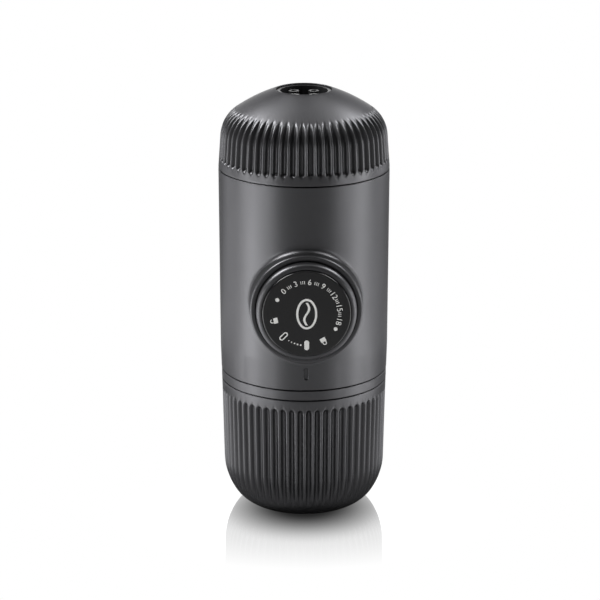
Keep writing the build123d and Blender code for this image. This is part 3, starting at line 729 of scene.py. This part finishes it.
def body_casing(casing, knob):
    """The body's shell: a tapered tube with the knob's boss blended into its front."""
    obj, (index_low, window_low, window_high) = casing_tube(casing, knob)
    cut_index(obj, casing, knob, index_low, window_low)
    half = WINDOW_COLUMNS + WINDOW_ROWS
    bpy.ops.mesh.primitive_circle_add(vertices=2 * half, radius=knob.boss_radius,
                                      rotation=(pi / 2, 0, 0), location=(0, 0, KNOB_Z))
    boss = newest("boss")
    sections = {}

    def row(index):
        def rule(co):
            angle = atan2(co.z - KNOB_Z, co.x)
            key = round(angle, 4)
            if key not in sections:
                sections[key] = boss_section(casing, knob, angle)
            radius, reach = sections[key][index]
            return Vector((radius * cos(angle), -reach, KNOB_Z + radius * sin(angle)))
        return rule

    with editing(boss):
        bpy.ops.mesh.select_all(action="SELECT")
        place_picked(boss, row(0))
        for index in range(1, len(boss_section(casing, knob, 0))):
            bpy.ops.mesh.extrude_region_move()
            place_picked(boss, row(index))
    with editing(obj):
        pick(obj, "FACE", lambda co: in_window(co, WINDOW_COLUMNS, window_low, window_high))
        bpy.ops.mesh.delete(type="FACE")
    obj = joined("body_casing", [obj, boss])
    between = (casing.body_bore + casing.foot_radius) / 2
    with editing(obj):
        pick(obj, "EDGE", lambda co: hypot(co.x, co.y) > between)
        bpy.ops.mesh.bridge_edge_loops(number_cuts=4, interpolation="LINEAR")
        place_picked(obj, lambda co: on_casing(casing, co.x, co.z))
        pick(obj, "EDGE", lambda co: True)
        bpy.ops.mesh.bridge_edge_loops(number_cuts=2, interpolation="LINEAR")
        place_picked(obj, lambda co: Vector((co.x, -sqrt(casing.body_bore ** 2 - co.x ** 2), co.z)))
        close_up()
    return obj


def pump_knob(knob):
    """The knob's shell: rim, recessed face, skirt and guide sleeve, made round its own axis."""
    face = DIAL_FRONT - knob.dial_depth
    inner = face - knob.face_wall
    seat = face - knob.screw_seat
    rim = DIAL_RADIUS + DIAL_GAP
    skirt_end = KNOB_FRONT - knob.knob_skirt
    skirt_bore = KNOB_RADIUS - knob.knob_wall
    sleeve_bore = knob.sleeve_radius - knob.sleeve_wall
    hub_end = inner - knob.hub_length
    crisp, soft, full = 0.2 * MM, 0.3 * MM, 0.4 * MM
    corners = [
        (knob.screw_hole, seat, 0), (knob.screw_head, seat, 0), (knob.screw_head, face, 0),
        (rim, face, 0), (rim, KNOB_FRONT, crisp), (KNOB_RADIUS, KNOB_FRONT, knob.knob_edge),
        (KNOB_RADIUS, skirt_end, full), (skirt_bore, skirt_end, soft), (skirt_bore, inner, full),
        (knob.sleeve_radius, inner, full), (knob.sleeve_radius, SLEEVE_END, soft),
        (sleeve_bore, SLEEVE_END, soft), (sleeve_bore, inner, 0),
        (knob.hub_radius, inner, full), (knob.hub_radius, hub_end, soft),
        (knob.hub_bore, hub_end, 0), (knob.hub_bore, inner, 0), (knob.screw_hole, inner, 0)]
    obj = turned("pump_knob_shell", section(corners, steps=5), BODY_STEPS)
    on_knob_axis(obj)
    return obj


def dial(knob):
    """The polished disc in the knob's face, with a rounded edge."""
    back = DIAL_FRONT - knob.dial_depth + DIAL_SEAT
    front = DIAL_FRONT - knob.print_height
    edge = softened((DIAL_RADIUS, back), (DIAL_RADIUS, front), (0, front), knob.dial_edge, steps=5)
    points = [Vector((0, back)), Vector((DIAL_RADIUS, back))] + edge + [Vector((0, front))]
    obj = turned("dial_disc", points, BODY_STEPS, closed=False)
    on_knob_axis(obj)
    return obj


# ------------------------------------------------------------------ printed marks
# Places on the dial, in degrees anticlockwise from +X.
LOCKED, UNLOCKED = 270, 225                        # capsules at the knob's two marks
CLOSED_LOCK, OPEN_LOCK = 301, 192                  # padlocks beside them
DOTS, DOTS_START, DOTS_STEP = 5, 237, 5.6          # growing dots between those marks
NUMBERS, SCALE_START, SCALE_STEP = 7, 134, -24.6   # numbers of the scale
SCALE_ENDS = (153, -28.6)                          # large dots before and after the scale
TICKS = (0.37, 0.5, 0.63)      # places of the ticks between two numbers, as shares of that step
COUNTED_BY = 3                 # from one number to the next

# Sizes of the print: widths, heights and thicknesses of lines.
CAPSULE, CAPSULE_LINE = (1.7 * MM, 3.6 * MM), 0.4 * MM
BEAN, BEAN_LINE = (7.4 * MM, 11.2 * MM), 0.75 * MM
CREASE = (0.85 * MM, 8.3 * MM, 0.8 * MM)  # swing to each side, height and thickness
TICK = (0.22 * MM, 1.1 * MM)
LARGE_DOT = 0.7 * MM           # radius
FIRST_DOT, DOT_GROWTH = 0.2, 0.03         # radius of the growing dots in millimetres
FIGURE = 2.0 * MM              # height of the numbers
FIGURE_SHARE = 0.7             # height of a figure as a share of the font's size


def polar(radius, degrees):
    """The flat point at that distance and angle from the middle."""
    return Vector((cos(radians(degrees)), sin(radians(degrees)))) * radius


def arc(centre, radius, start, end, steps):
    """Points of an arc; its angles are in degrees."""
    return [Vector(centre) + polar(radius, start + (end - start) * i / steps)
            for i in range(steps + 1)]


def dot(centre, radius, steps=20):
    """Outline of a disc."""
    return arc(centre, radius, 0, 360 * (steps - 1) / steps, steps - 1)


def capsule(width, height, inset=0.0):
    """Outline of an upright capsule."""
    radius, straight = width / 2 - inset, (height - width) / 2
    return arc((0, straight), radius, 0, 180, 10) + arc((0, -straight), radius, 180, 360, 10)


def bar(width, height):
    """Outline of a rectangle."""
    return [Vector((x * width / 2, y * height / 2))
            for x, y in ((-1, -1), (1, -1), (1, 1), (-1, 1))]


def bean(width, height, inset=0.0):
    """Outline of an upright oval."""
    return [Vector((cos(a) * (width / 2 - inset), sin(a) * (height / 2 - inset)))
            for a in (2 * pi * i / 40 for i in range(40))]


def crease(width, height, thickness):
    """The wavy line down a coffee bean, as a closed band with round swings."""
    steps = 16
    aside = Vector((thickness / 2, 0))
    middle = [Vector((width * sin(2 * pi * (i / steps - 0.5)), height * (i / steps - 0.5)))
              for i in range(steps + 1)]
    return [point - aside for point in middle] + [point + aside for point in reversed(middle)]


def padlock(is_open):
    """Outlines of a small padlock's case and its shackle."""
    half, tall, corner = 1.0 * MM, 1.5 * MM, 0.2 * MM
    outer, inner, rise, foot = 0.74 * MM, 0.42 * MM, 0.5 * MM, 0.06 * MM
    case = section([(-half, -tall, corner), (half, -tall, corner), (half, 0, corner),
                    (-half, 0, corner)])
    shackle = arc((0, rise), outer, 0, 180, 10)
    shackle += [Vector((-outer, foot)), Vector((-inner, foot))]
    shackle += arc((0, rise), inner, 180, 0, 10)
    if not is_open:
        shackle += [Vector((inner, foot)), Vector((outer, foot))]
    return case, shackle


def set_at(points, radius, degrees):
    """The outline at that place on the dial, with its top outwards."""
    return [turn2(point, radians(degrees - 90)) + polar(radius, degrees) for point in points]


def printed(outlines, thickness):
    """One printed mark from its outline and the outlines of its holes."""
    obj = joined("mark", [draw("outline", points) for points in outlines])
    with editing(obj):
        bpy.ops.mesh.select_all(action="SELECT")
        bpy.ops.mesh.fill()
        bpy.ops.mesh.extrude_region_move(
            TRANSFORM_OT_translate={"value": (0, -thickness, 0)})
        bpy.ops.mesh.select_all(action="SELECT")
        bpy.ops.transform.translate(value=(0, thickness - DIAL_FRONT, KNOB_Z))
        bpy.ops.mesh.normals_make_consistent(inside=False)
    return obj


def printed_number(number, height, radius, degrees, thickness):
    """A plain number, read from outside the dial's middle."""
    place = polar(radius, degrees)
    bpy.ops.object.text_add(rotation=(pi / 2, -radians(degrees - 90), 0),
                            location=(place.x, thickness / 2 - DIAL_FRONT, KNOB_Z + place.y))
    text = bpy.context.object
    text.data.body = str(number)
    text.data.size = height / FIGURE_SHARE
    text.data.align_x = text.data.align_y = "CENTER"
    text.data.extrude = thickness / 2
    text.data.resolution_u = 4
    only(text)
    bpy.ops.object.convert(target="MESH")
    obj = newest("number")
    with editing(obj):
        close_up(TEXT_WELD)
    return obj


def dial_marks(knob):
    """All the print on the dial: lock positions, a plain scale and a bean in the middle."""
    mark, thickness = knob.mark_radius, knob.print_height
    capsules, padlocks = mark - 0.1 * MM, mark + 0.3 * MM
    prints = [[set_at(capsule(*CAPSULE), capsules, LOCKED)],
              [set_at(capsule(*CAPSULE), capsules, UNLOCKED),
               set_at(capsule(*CAPSULE, CAPSULE_LINE), capsules, UNLOCKED)]]
    prints += [[dot(polar(mark, DOTS_START + DOTS_STEP * i), (FIRST_DOT + DOT_GROWTH * i) * MM, 12)]
               for i in range(DOTS)]
    prints += [[dot(polar(mark, degrees), LARGE_DOT)] for degrees in SCALE_ENDS]
    for is_open, degrees in ((True, OPEN_LOCK), (False, CLOSED_LOCK)):
        prints += [[set_at(points, padlocks, degrees)] for points in padlock(is_open)]
    prints += [[bean(*BEAN), bean(*BEAN, BEAN_LINE)], [crease(*CREASE)]]
    prints += [[set_at(bar(*TICK), mark, SCALE_START + SCALE_STEP * (index + part))]
               for index in range(NUMBERS - 1) for part in TICKS]
    marks = [printed(outlines, thickness) for outlines in prints]
    marks += [printed_number(COUNTED_BY * i, FIGURE, mark, SCALE_START + SCALE_STEP * i, thickness)
              for i in range(NUMBERS)]
    return joined("dial_marks", marks)


# ------------------------------------------------------------------ tank collar
BAND_STEPS = 180               # mesh columns round the band


def tank_collar(casing):
    """The band round the tank between body and cup."""
    bore, radius, edge = casing.collar_bore, casing.collar_radius, casing.edge_round
    corners = [(bore, COLLAR_LOW, 0), (radius, COLLAR_LOW, edge), (radius, COLLAR_TOP, edge),
               (bore, COLLAR_TOP, 0)]
    return turned("tank_band", section(corners), BAND_STEPS)


# ------------------------------------------------------------------ threads
NECK_RADIUS, PORTAFILTER_BORE = 26.6 * MM, 27.0 * MM    # the brew neck and the bore round it
TANK_NECK_RADIUS, SOCKET_BORE = 26.0 * MM, 26.4 * MM    # the tank's neck and the bore round it
LEAST_RIDGE = 0.1              # height of a ridge at its very end, as a share of the full one


def thread(name, wall, depth, start, sizes):
    """A helical ridge on a wall that starts at that height; its depth is negative inside a bore."""
    root = wall - copysign(sizes.bite, depth)
    half = sizes.crest / 2
    flank = half + abs(depth) + sizes.bite
    obj = draw(name, [(root, start - flank), (wall + depth, start - half),
                      (wall + depth, start + half), (root, start + flank)])
    screw = obj.modifiers.new("Helix", "SCREW")
    screw.screw_offset = sizes.lead
    screw.iterations = sizes.turns
    screw.steps = screw.render_steps = sizes.steps
    only(obj)
    bpy.ops.object.modifier_apply(modifier=screw.name)
    last = sizes.lead * sizes.turns
    run_in = sizes.fade / (2 * pi) * sizes.lead

    def faded(co):
        radius = hypot(co.x, co.y)
        rise = co.z - start
        share = min(1, max(LEAST_RIDGE, (half + min(rise, last - rise)) / run_in))
        return Vector((co.x, co.y, 0)) * ((root + (radius - root) * share) / radius) + UP * co.z

    with editing(obj):
        bpy.ops.mesh.select_all(action="SELECT")
        place_picked(obj, faded)
        for is_end in (lambda co: co.z < start + flank, lambda co: co.z > start + last - flank):
            pick(obj, "EDGE", is_end)
            bpy.ops.mesh.edge_face_add()
        close_up()
    return obj


# ------------------------------------------------------------------ materials
SPARK_GRAIN = 0.35 * MM        # spark-eroded grain, about twice the real width so that it shows
FLOW_PATCH = 14 * MM           # width of faint cloudy patches in moulded plastic
CAVITY_REACH = 1.6 * MM        # how far painted shade reaches from a wall, half a flute's pitch
CAVITY_SHUT, CAVITY_OPEN = 0.45, 0.95     # open share where the painted shade is full, and where it is gone
CAVITY_SHADE = 0.45                   # tone of the painted shade in a flute's floor, as a share of the unshaded tone
GLASS_FIBRE = 0.5 * MM         # length of the fibre marks in filled nylon
SMEAR_PATCH = 6 * MM           # width of finger smears on polished plastic
PRESS_GRAIN = 0.12 * MM        # width of the rolled grain on sheet steel
DRAW_LINE = 0.08 * MM          # width of the drawing lines on wire
NOISE_SPREAD = (0.3, 0.7)      # values between which nearly all of a noise lies


def add(tree, kind, inputs=(), **settings):
    """Adds one shader node with its settings; inputs are values or other nodes' outputs."""
    node = tree.nodes.new(kind)
    for name, value in settings.items():
        setattr(node, name, value)
    for name, value in dict(inputs).items():
        socket = next(socket for socket in node.inputs if socket.name == name and socket.enabled)
        if isinstance(value, bpy.types.NodeSocket):
            tree.links.new(value, socket)
        else:
            socket.default_value = value
    return next((socket for socket in node.outputs if socket.enabled), None)


def new_material(name):
    """A material without nodes, its node tree and the place on the object as a socket."""
    material = bpy.data.materials.new(name)
    material.use_nodes = True
    material.node_tree.nodes.clear()
    tree = material.node_tree
    place = add(tree, "ShaderNodeTexCoord").node.outputs["Object"]
    return material, tree, place


def shaded(base, factor):
    """A colour made darker or lighter by that factor."""
    return [channel * factor for channel in base[:3]] + [1.0]


def satin_abs(base):
    """Moulded ABS with graphite effect pigment, from a spark-eroded tool: satin, finely grained.

    The flakes lie along the surface, so it shines at every angle like a dark metal, and less
    than plain plastic where it is seen edge-on. Shade is painted into the floors of the flutes,
    seams and gaps: ambient occlusion darkens the colour there.
    """
    material, tree, place = new_material("satin_moulded_abs")
    grit = add(tree, "ShaderNodeTexNoise", {"Vector": place, "Scale": 1 / SPARK_GRAIN, "Detail": 2})
    cloud = add(tree, "ShaderNodeTexNoise", {"Vector": place, "Scale": 1 / FLOW_PATCH, "Detail": 3})
    # Painted shade: ambient occlusion darkens the colour in the flutes, seams and gaps.
    cavity = add(tree, "ShaderNodeAmbientOcclusion", {"Distance": CAVITY_REACH}, samples=8)
    open_share = add(tree, "ShaderNodeMapRange", {
        "Value": cavity.node.outputs["AO"], "From Min": CAVITY_SHUT, "From Max": CAVITY_OPEN,
        "To Min": 0.0, "To Max": 1.0})
    unshaded_tone = add(tree, "ShaderNodeMix", {
        "Factor": cloud, "A": shaded(base, 0.95), "B": shaded(base, 1.05)}, data_type="RGBA")
    tone = add(tree, "ShaderNodeMix", {
        "Factor": open_share, "A": shaded(base, CAVITY_SHADE), "B": unshaded_tone}, data_type="RGBA")
    gloss = add(tree, "ShaderNodeMapRange", {
        "Value": grit, "From Min": NOISE_SPREAD[0], "From Max": NOISE_SPREAD[1],
        "To Min": 0.33, "To Max": 0.41})
    bump = add(tree, "ShaderNodeBump", {"Height": grit, "Strength": 0.12, "Distance": 0.02 * MM})
    shader = add(tree, "ShaderNodeBsdfPrincipled", {
        "Base Color": tone, "Metallic": 0.9, "Roughness": gloss, "Normal": bump,
        "Specular Tint": shaded((1, 1, 1), 0.35)})
    add(tree, "ShaderNodeOutputMaterial", {"Surface": shader})
    return material


def speckled(name, base, grain, noise, uniform, tone=None, gloss=None, relief=None, stretch=None,
             spread=NOISE_SPREAD):
    """A finish whose tone, gloss and relief all follow one noise with grains of that size.

    noise holds the noise's other values and uniform the shader's. tone is how dark and how light
    the colour gets, gloss the roughness from spot to spot, relief the bump's strength and depth,
    stretch the scale along each axis, and spread the noise's values where the gloss has its ends.
    """
    material, tree, place = new_material(name)
    if stretch:
        place = add(tree, "ShaderNodeMapping", {"Vector": place, "Scale": stretch})
    spots = add(tree, "ShaderNodeTexNoise", {"Vector": place, "Scale": 1 / grain, **noise})
    inputs = {"Base Color": base, **uniform}
    if tone:
        dark, light = (shaded(base, factor) for factor in tone)
        inputs["Base Color"] = add(tree, "ShaderNodeMix", {
            "Factor": spots, "A": dark, "B": light}, data_type="RGBA")
    if gloss:
        inputs["Roughness"] = add(tree, "ShaderNodeMapRange", {
            "Value": spots, "From Min": spread[0], "From Max": spread[1],
            "To Min": gloss[0], "To Max": gloss[1]})
    if relief:
        inputs["Normal"] = add(tree, "ShaderNodeBump", {
            "Height": spots, "Strength": relief[0], "Distance": relief[1]})
    shader = add(tree, "ShaderNodeBsdfPrincipled", inputs)
    add(tree, "ShaderNodeOutputMaterial", {"Surface": shader})
    return material


def moulded_nylon(base):
    """Glass-filled nylon, moulded: near black, semi-matt, with short fibre marks."""
    return speckled("moulded_glass_filled_nylon", base, GLASS_FIBRE,
                    {"Detail": 4, "Distortion": 1.5}, {"IOR": 1.53},
                    tone=(0.85, 1.2), gloss=(0.34, 0.5), relief=(0.15, 0.02 * MM))


def polished_acrylic(base):
    """Cast acrylic, polished: black and glossy, with faint smears that soften its reflections."""
    return speckled("polished_black_acrylic", base, SMEAR_PATCH, {"Detail": 5},
                    {"IOR": 1.49}, tone=(0.96, 1.06), gloss=(0.16, 0.26), spread=(0.35, 0.7))


def pad_print(base):
    """Pad-printed ink: matt white, a little thinner in places."""
    return speckled("pad_printed_ink", base, SPARK_GRAIN, {"Detail": 2},
                    {"Roughness": 0.5, "IOR": 1.5}, tone=(0.88, 1.0))


def smoke_copolyester(base):
    """Moulded clear copolyester with a smoke tint: glossy, and the inner wall shows through."""
    return speckled("smoke_copolyester", base, FLOW_PATCH, {"Detail": 2},
                    {"IOR": 1.57, "Transmission Weight": 0.85},
                    tone=(0.94, 1.0), gloss=(0.08, 0.16))


def moulded_silicone(base):
    """Compression-moulded silicone: matt, soft sheen, slightly dusty."""
    return speckled("moulded_silicone", base, GLASS_FIBRE, {"Detail": 4},
                    {"Roughness": 0.62, "IOR": 1.41, "Sheen Weight": 0.15},
                    tone=(0.9, 1.25), relief=(0.1, 0.02 * MM))


def pressed_steel(base):
    """Pressed stainless sheet: satin, with the rolled grain still in it."""
    return speckled("pressed_stainless_steel", base, PRESS_GRAIN, {"Detail": 3}, {"Metallic": 1.0},
                    gloss=(0.22, 0.36), relief=(0.08, 0.01 * MM), stretch=(1.0, 0.06, 1.0))


def drawn_wire(base):
    """Drawn spring wire: brighter and smoother than sheet, with lines along its length."""
    return speckled("drawn_spring_steel", shaded(base, 0.85), DRAW_LINE, {"Detail": 2},
                    {"Metallic": 1.0}, gloss=(0.16, 0.3))


# Each slot of the record, and the print, with its material and its colour setting.
FINISHES = {
    "casing": (satin_abs, "casing"),
    "black_plastic": (moulded_nylon, "black"),
    "dial_gloss": (polished_acrylic, "dial"),
    "tank_plastic": (smoke_copolyester, "tank"),
    "silicone": (moulded_silicone, "silicone"),
    "steel": (pressed_steel, "steel"),
    "spring_steel": (drawn_wire, "steel"),
    "print": (pad_print, "ink"),
}
made_finishes = {}


def finish_of(name):
    """The material of that name, made the first time it is asked for."""
    if name not in made_finishes:
        make, colour_name = FINISHES[name]
        made_finishes[name] = make(list(getattr(bpy.context.scene.espresso_finishes, colour_name)))
    return made_finishes[name]


def fit(obj, body, slot, nodes=(), finish=None):
    """Finishes a piece: shading, material, the body it rides on and the nodes it stands for."""
    shade(obj)
    obj.data.materials.clear()
    obj.data.materials.append(finish_of(finish or slot))
    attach(obj, body)
    if nodes:
        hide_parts(*nodes)


# ------------------------------------------------------------------ stage
FLOOR_SIZE = 6                 # metres
FAR_CLIP = 20                  # metres

# Soft lights that stand in pairs on the left and the right of the object: name, azimuth in degrees
# from -Y, distance, height, width and length in metres, tilt in degrees (0 is upright, 90 lies face
# up and -90 face down), and the powers of the left and of the right one in watts.
SOFTBOXES = [
    ("front_strip", 52.5, 0.6, 0.115, 0.158, 0.21, 0, 0.47, 0.38),
    ("side_strip", 82.5, 0.6, 0.115, 0.158, 0.21, 0, 0.56, 0.8),
    ("rear_strip", 125, 0.6, 0.115, 0.322, 0.21, 0, 0.48, 0.87),
    ("front_near_panel", 50, 0.125, 0.004, 0.05, 0.15, 90, 0.03, 0.02),
    ("side_near_panel", 70, 0.125, 0.004, 0.05, 0.15, 90, 0.08, 0.06),
    ("middle_near_panel", 92.5, 0.125, 0.004, 0.06, 0.15, 90, 0.03, 0.04),
    ("front_floor_panel", 50, 0.38, 0.004, 0.134, 0.42, 90, 0.3, 0.1),
    ("side_floor_panel", 70, 0.38, 0.004, 0.134, 0.42, 90, 0.9, 0.6),
    ("middle_floor_panel", 92.5, 0.38, 0.004, 0.168, 0.42, 90, 0.3, 0.3),
    ("rear_floor_panel", 120, 0.38, 0.004, 0.204, 0.42, 90, 0.6, 0.3),
    ("high_box", 92.5, 0.45, 0.68, 0.284, 0.35, -50, 4.5, 1.2),
    ("rear_high_box", 120, 0.6, 0.68, 0.437, 0.34, -30, 4.6, 5.0),
    ("crown_box", 150, 0.4, 0.78, 0.3, 0.3, -58, 0.6, 0.5),
]
# The same for the single ones, with one power.
BACK_CARD = ("back_card", 180, 0.7, 0.26, 0.7, 0.5, 0, 2.6)
TOP_BOX = ("top_box", 180, 0.05, 0.9, 0.5, 0.5, -90, 0.5)
FRONT_FILL = ("front_fill", 0, 0.6, 0.25, 0.5, 0.4, 0, 0.2)


def softbox(name, azimuth, distance, height, wide, long, tilt, power):
    """A soft light that faces the object's axis."""
    turn = radians(azimuth)
    bpy.ops.object.light_add(type="AREA", rotation=(pi / 2 + radians(tilt), 0, turn),
                             location=(sin(turn) * distance, -cos(turn) * distance, height))
    light = bpy.context.object
    light.name = light.data.name = name
    light.data.shape = "RECTANGLE"
    light.data.size, light.data.size_y = wide, long
    light.data.energy = power


SHADOW_SHIFT = 11 * MM         # how far the contact shadow lies towards -Y
SHADOW_CORE, SHADOW_EDGE = 9 * MM, 38 * MM      # radius where it is darkest and where it ends
SHADOW_TONE = 0.03             # the floor's brightness in its core
MIRROR_SHIFT = 20 * MM         # how far the mirroring patch lies towards -Y
MIRROR_WIDTH = 0.7             # its width is its depth divided by this
MIRROR_CORE, MIRROR_EDGE = 12 * MM, 50 * MM     # radius where it is strongest and where it ends
MIRROR_SHARE = 0.34            # share of the mirror image in its core
POLISH = 0.02                  # roughness of the mirror image
FLOOR_RETURN = 0.3             # how bright the floor is towards the object
DIM_SKY = 0.01                 # the same for the backdrop


def floor_acrylic(base):
    """White acrylic sheet: washed out to white, a painted contact shadow, a faint mirror image.

    Only the camera sees it white; towards the object it is dark, like a floor outside the lights.
    """
    material, tree, place = new_material("white_acrylic_floor")
    seen = add(tree, "ShaderNodeLightPath").node.outputs["Is Camera Ray"]
    distances = []
    for shift, scale in ((SHADOW_SHIFT, 1), (MIRROR_SHIFT, MIRROR_WIDTH)):
        patch = add(tree, "ShaderNodeMapping", {
            "Vector": place, "Location": (0, shift, 0), "Scale": (scale, 1, 1)})
        measure = add(tree, "ShaderNodeVectorMath", {"Vector": patch}, operation="LENGTH").node
        distances.append(measure.outputs["Value"])
    # Painted contact shadow: the floor's glow is dimmed round the foot.
    white = add(tree, "ShaderNodeMapRange", {
        "Value": distances[0], "From Min": SHADOW_CORE, "From Max": SHADOW_EDGE,
        "To Min": SHADOW_TONE, "To Max": 1.0}, interpolation_type="SMOOTHSTEP")
    mirrored = add(tree, "ShaderNodeMapRange", {
        "Value": distances[1], "From Min": MIRROR_CORE, "From Max": MIRROR_EDGE,
        "To Min": MIRROR_SHARE, "To Max": 0.0})
    glow = add(tree, "ShaderNodeEmission", {"Color": base, "Strength": white})
    shine = add(tree, "ShaderNodeBsdfGlossy", {"Color": (1, 1, 1, 1), "Roughness": POLISH})
    matt = add(tree, "ShaderNodeBsdfDiffuse", {"Color": shaded(base, FLOOR_RETURN)})
    picture = add(tree, "ShaderNodeMixShader", {"Fac": mirrored})
    sheet = add(tree, "ShaderNodeMixShader", {"Fac": seen})
    for mix, lower, upper in ((picture, glow, shine), (sheet, matt, picture)):
        tree.links.new(lower, mix.node.inputs[1])
        tree.links.new(upper, mix.node.inputs[2])
    add(tree, "ShaderNodeOutputMaterial", {"Surface": sheet})
    return material


def studio_world():
    """A white backdrop for the camera, and dim light for everything else."""
    world = bpy.data.worlds.new("studio")
    world.use_nodes = True
    tree = world.node_tree
    tree.nodes.clear()
    seen = add(tree, "ShaderNodeLightPath").node.outputs["Is Camera Ray"]
    strength = add(tree, "ShaderNodeMapRange", {"Value": seen, "To Min": DIM_SKY, "To Max": 1.0})
    back = add(tree, "ShaderNodeBackground", {"Color": (1, 1, 1, 1), "Strength": strength})
    add(tree, "ShaderNodeOutputWorld", {"Surface": back})
    bpy.context.scene.world = world


# ------------------------------------------------------------------ operators
class ESPRESSO_OT_head(bpy.types.Operator):
    """Outlet head: the fluted shell"""
    bl_idname = "espresso.head"
    bl_label = "Outlet head"

    def execute(self, context):
        scene = context.scene
        fit(head_cap(scene.espresso_casing, scene.espresso_flutes),
            "outlet_head", "casing", ["head_cap"])
        return {"FINISHED"}


class ESPRESSO_OT_body(bpy.types.Operator):
    """Body: the casing with the knob's boss and the index mark"""
    bl_idname = "espresso.body"
    bl_label = "Body casing"

    def execute(self, context):
        scene = context.scene
        fit(body_casing(scene.espresso_casing, scene.espresso_knob),
            "main_body", "casing", ["body_shell"])
        return {"FINISHED"}


class ESPRESSO_OT_knob(bpy.types.Operator):
    """Pump knob: its shell, the dial and the print on it"""
    bl_idname = "espresso.knob"
    bl_label = "Pump knob"

    def execute(self, context):
        knob = context.scene.espresso_knob
        fit(pump_knob(knob), "knob", "black_plastic", ["pump_knob"], finish="casing")
        fit(dial(knob), "knob", "dial_gloss", ["dial"])
        fit(dial_marks(knob), "knob", "dial_gloss", finish="print")
        return {"FINISHED"}


class ESPRESSO_OT_collar(bpy.types.Operator):
    """Tank band: the ring between body and cup"""
    bl_idname = "espresso.collar"
    bl_label = "Tank band"

    def execute(self, context):
        fit(tank_collar(context.scene.espresso_casing), "tank", "casing", ["tank_collar"])
        return {"FINISHED"}


class ESPRESSO_OT_cup(bpy.types.Operator):
    """Cup: the fluted cup over the tank"""
    bl_idname = "espresso.cup"
    bl_label = "Cup"

    def execute(self, context):
        scene = context.scene
        fit(cup(scene.espresso_casing, scene.espresso_flutes), "cup", "casing", ["cup"])
        return {"FINISHED"}


class ESPRESSO_OT_threads(bpy.types.Operator):
    """Threads: the ridges of the neck, the portafilter, the tank and its socket"""
    bl_idname = "espresso.threads"
    bl_label = "Threads"

    def execute(self, context):
        sizes = context.scene.espresso_threads
        neck, tank = BODY_TOP + sizes.neck_start, COLLAR_TOP + sizes.tank_start
        between, at_neck, at_tank = sizes.lead / 2, sizes.neck_depth, sizes.tank_depth
        for name, wall, depth, start, body, slot in (
                ("neck_thread", NECK_RADIUS, at_neck, neck, "main_body", "black_plastic"),
                ("portafilter_thread", PORTAFILTER_BORE, -at_neck, neck + between,
                 "outlet_head", "black_plastic"),
                ("tank_thread", TANK_NECK_RADIUS, at_tank, tank, "tank", "tank_plastic"),
                ("socket_thread", SOCKET_BORE, -at_tank, tank + between,
                 "main_body", "black_plastic")):
            fit(thread(name, wall, depth, start, sizes), body, slot)
        return {"FINISHED"}


class ESPRESSO_OT_inner_parts(bpy.types.Operator):
    """Inner parts: finishes for the pieces that come from the construction model as they are"""
    bl_idname = "espresso.inner_parts"
    bl_label = "Inner parts"

    def execute(self, context):
        for row in frame["record"]["subparts"]:
            obj = frame["nodes"][row["node"]]
            obj.data.materials.clear()
            obj.data.materials.append(finish_of(row["material_slot"]))
        return {"FINISHED"}


class ESPRESSO_OT_stage(bpy.types.Operator):
    """Studio: floor, backdrop, lights and camera"""
    bl_idname = "espresso.stage"
    bl_label = "Studio"

    def execute(self, context):
        settings, scene = context.scene.espresso_stage, context.scene
        bpy.ops.object.select_all(action="DESELECT")
        bpy.ops.mesh.primitive_plane_add(size=FLOOR_SIZE)
        floor = newest("floor")
        floor.data.materials.append(floor_acrylic(list(scene.espresso_finishes.floor)))
        studio_world()
        for name, azimuth, *box, left, right in SOFTBOXES:
            softbox("left_" + name, -azimuth, *box, left)
            softbox("right_" + name, azimuth, *box, right)
        for single in (BACK_CARD, TOP_BOX, FRONT_FILL):
            softbox(*single)
        place = Vector((settings.camera_side, -settings.camera_distance, settings.camera_height))
        bpy.ops.object.camera_add(
            location=Matrix.Rotation(settings.camera_turn, 4, "Z") @ place,
            rotation=(pi / 2 - settings.camera_pitch, 0, settings.camera_turn))
        camera = context.object
        camera.data.lens = settings.focal_length
        camera.data.clip_end = FAR_CLIP
        scene.camera = camera
        scene.view_settings.view_transform = "Standard"
        return {"FINISHED"}


class ESPRESSO_PT_maker(bpy.types.Panel):
    """Lists the steps that build the espresso maker"""
    bl_idname = "ESPRESSO_PT_maker"
    bl_label = "Espresso maker"
    bl_space_type = "VIEW_3D"
    bl_region_type = "UI"
    bl_category = "Espresso"

    def draw(self, context):
        for operator in STEPS:
            self.layout.operator(operator.bl_idname)
        for group in SETTINGS:
            box = self.layout.box()
            for name in SETTINGS[group].__annotations__:
                box.prop(getattr(context.scene, group), name)


STEPS = [
    ESPRESSO_OT_stage, ESPRESSO_OT_inner_parts, ESPRESSO_OT_head, ESPRESSO_OT_body,
    ESPRESSO_OT_knob, ESPRESSO_OT_collar, ESPRESSO_OT_cup, ESPRESSO_OT_threads,
]
SETTINGS = {
    "espresso_casing": CasingSizes,
    "espresso_flutes": FluteSizes,
    "espresso_knob": KnobSizes,
    "espresso_threads": ThreadSizes,
    "espresso_finishes": Finishes,
    "espresso_stage": StageSettings,
}


def register():
    for group in SETTINGS:
        bpy.utils.register_class(SETTINGS[group])
        setattr(bpy.types.Scene, group, PointerProperty(type=SETTINGS[group]))
    for operator in STEPS:
        bpy.utils.register_class(operator)
    bpy.utils.register_class(ESPRESSO_PT_maker)


def unregister():
    bpy.utils.unregister_class(ESPRESSO_PT_maker)
    for operator in reversed(STEPS):
        bpy.utils.unregister_class(operator)
    for group in SETTINGS:
        delattr(bpy.types.Scene, group)
        bpy.utils.unregister_class(SETTINGS[group])


def main():
    register()
    for operator in STEPS:
        step = operator.bl_idname.split(".")[1]
        getattr(bpy.ops.espresso, step)()


if __name__ == "__main__":
    main()
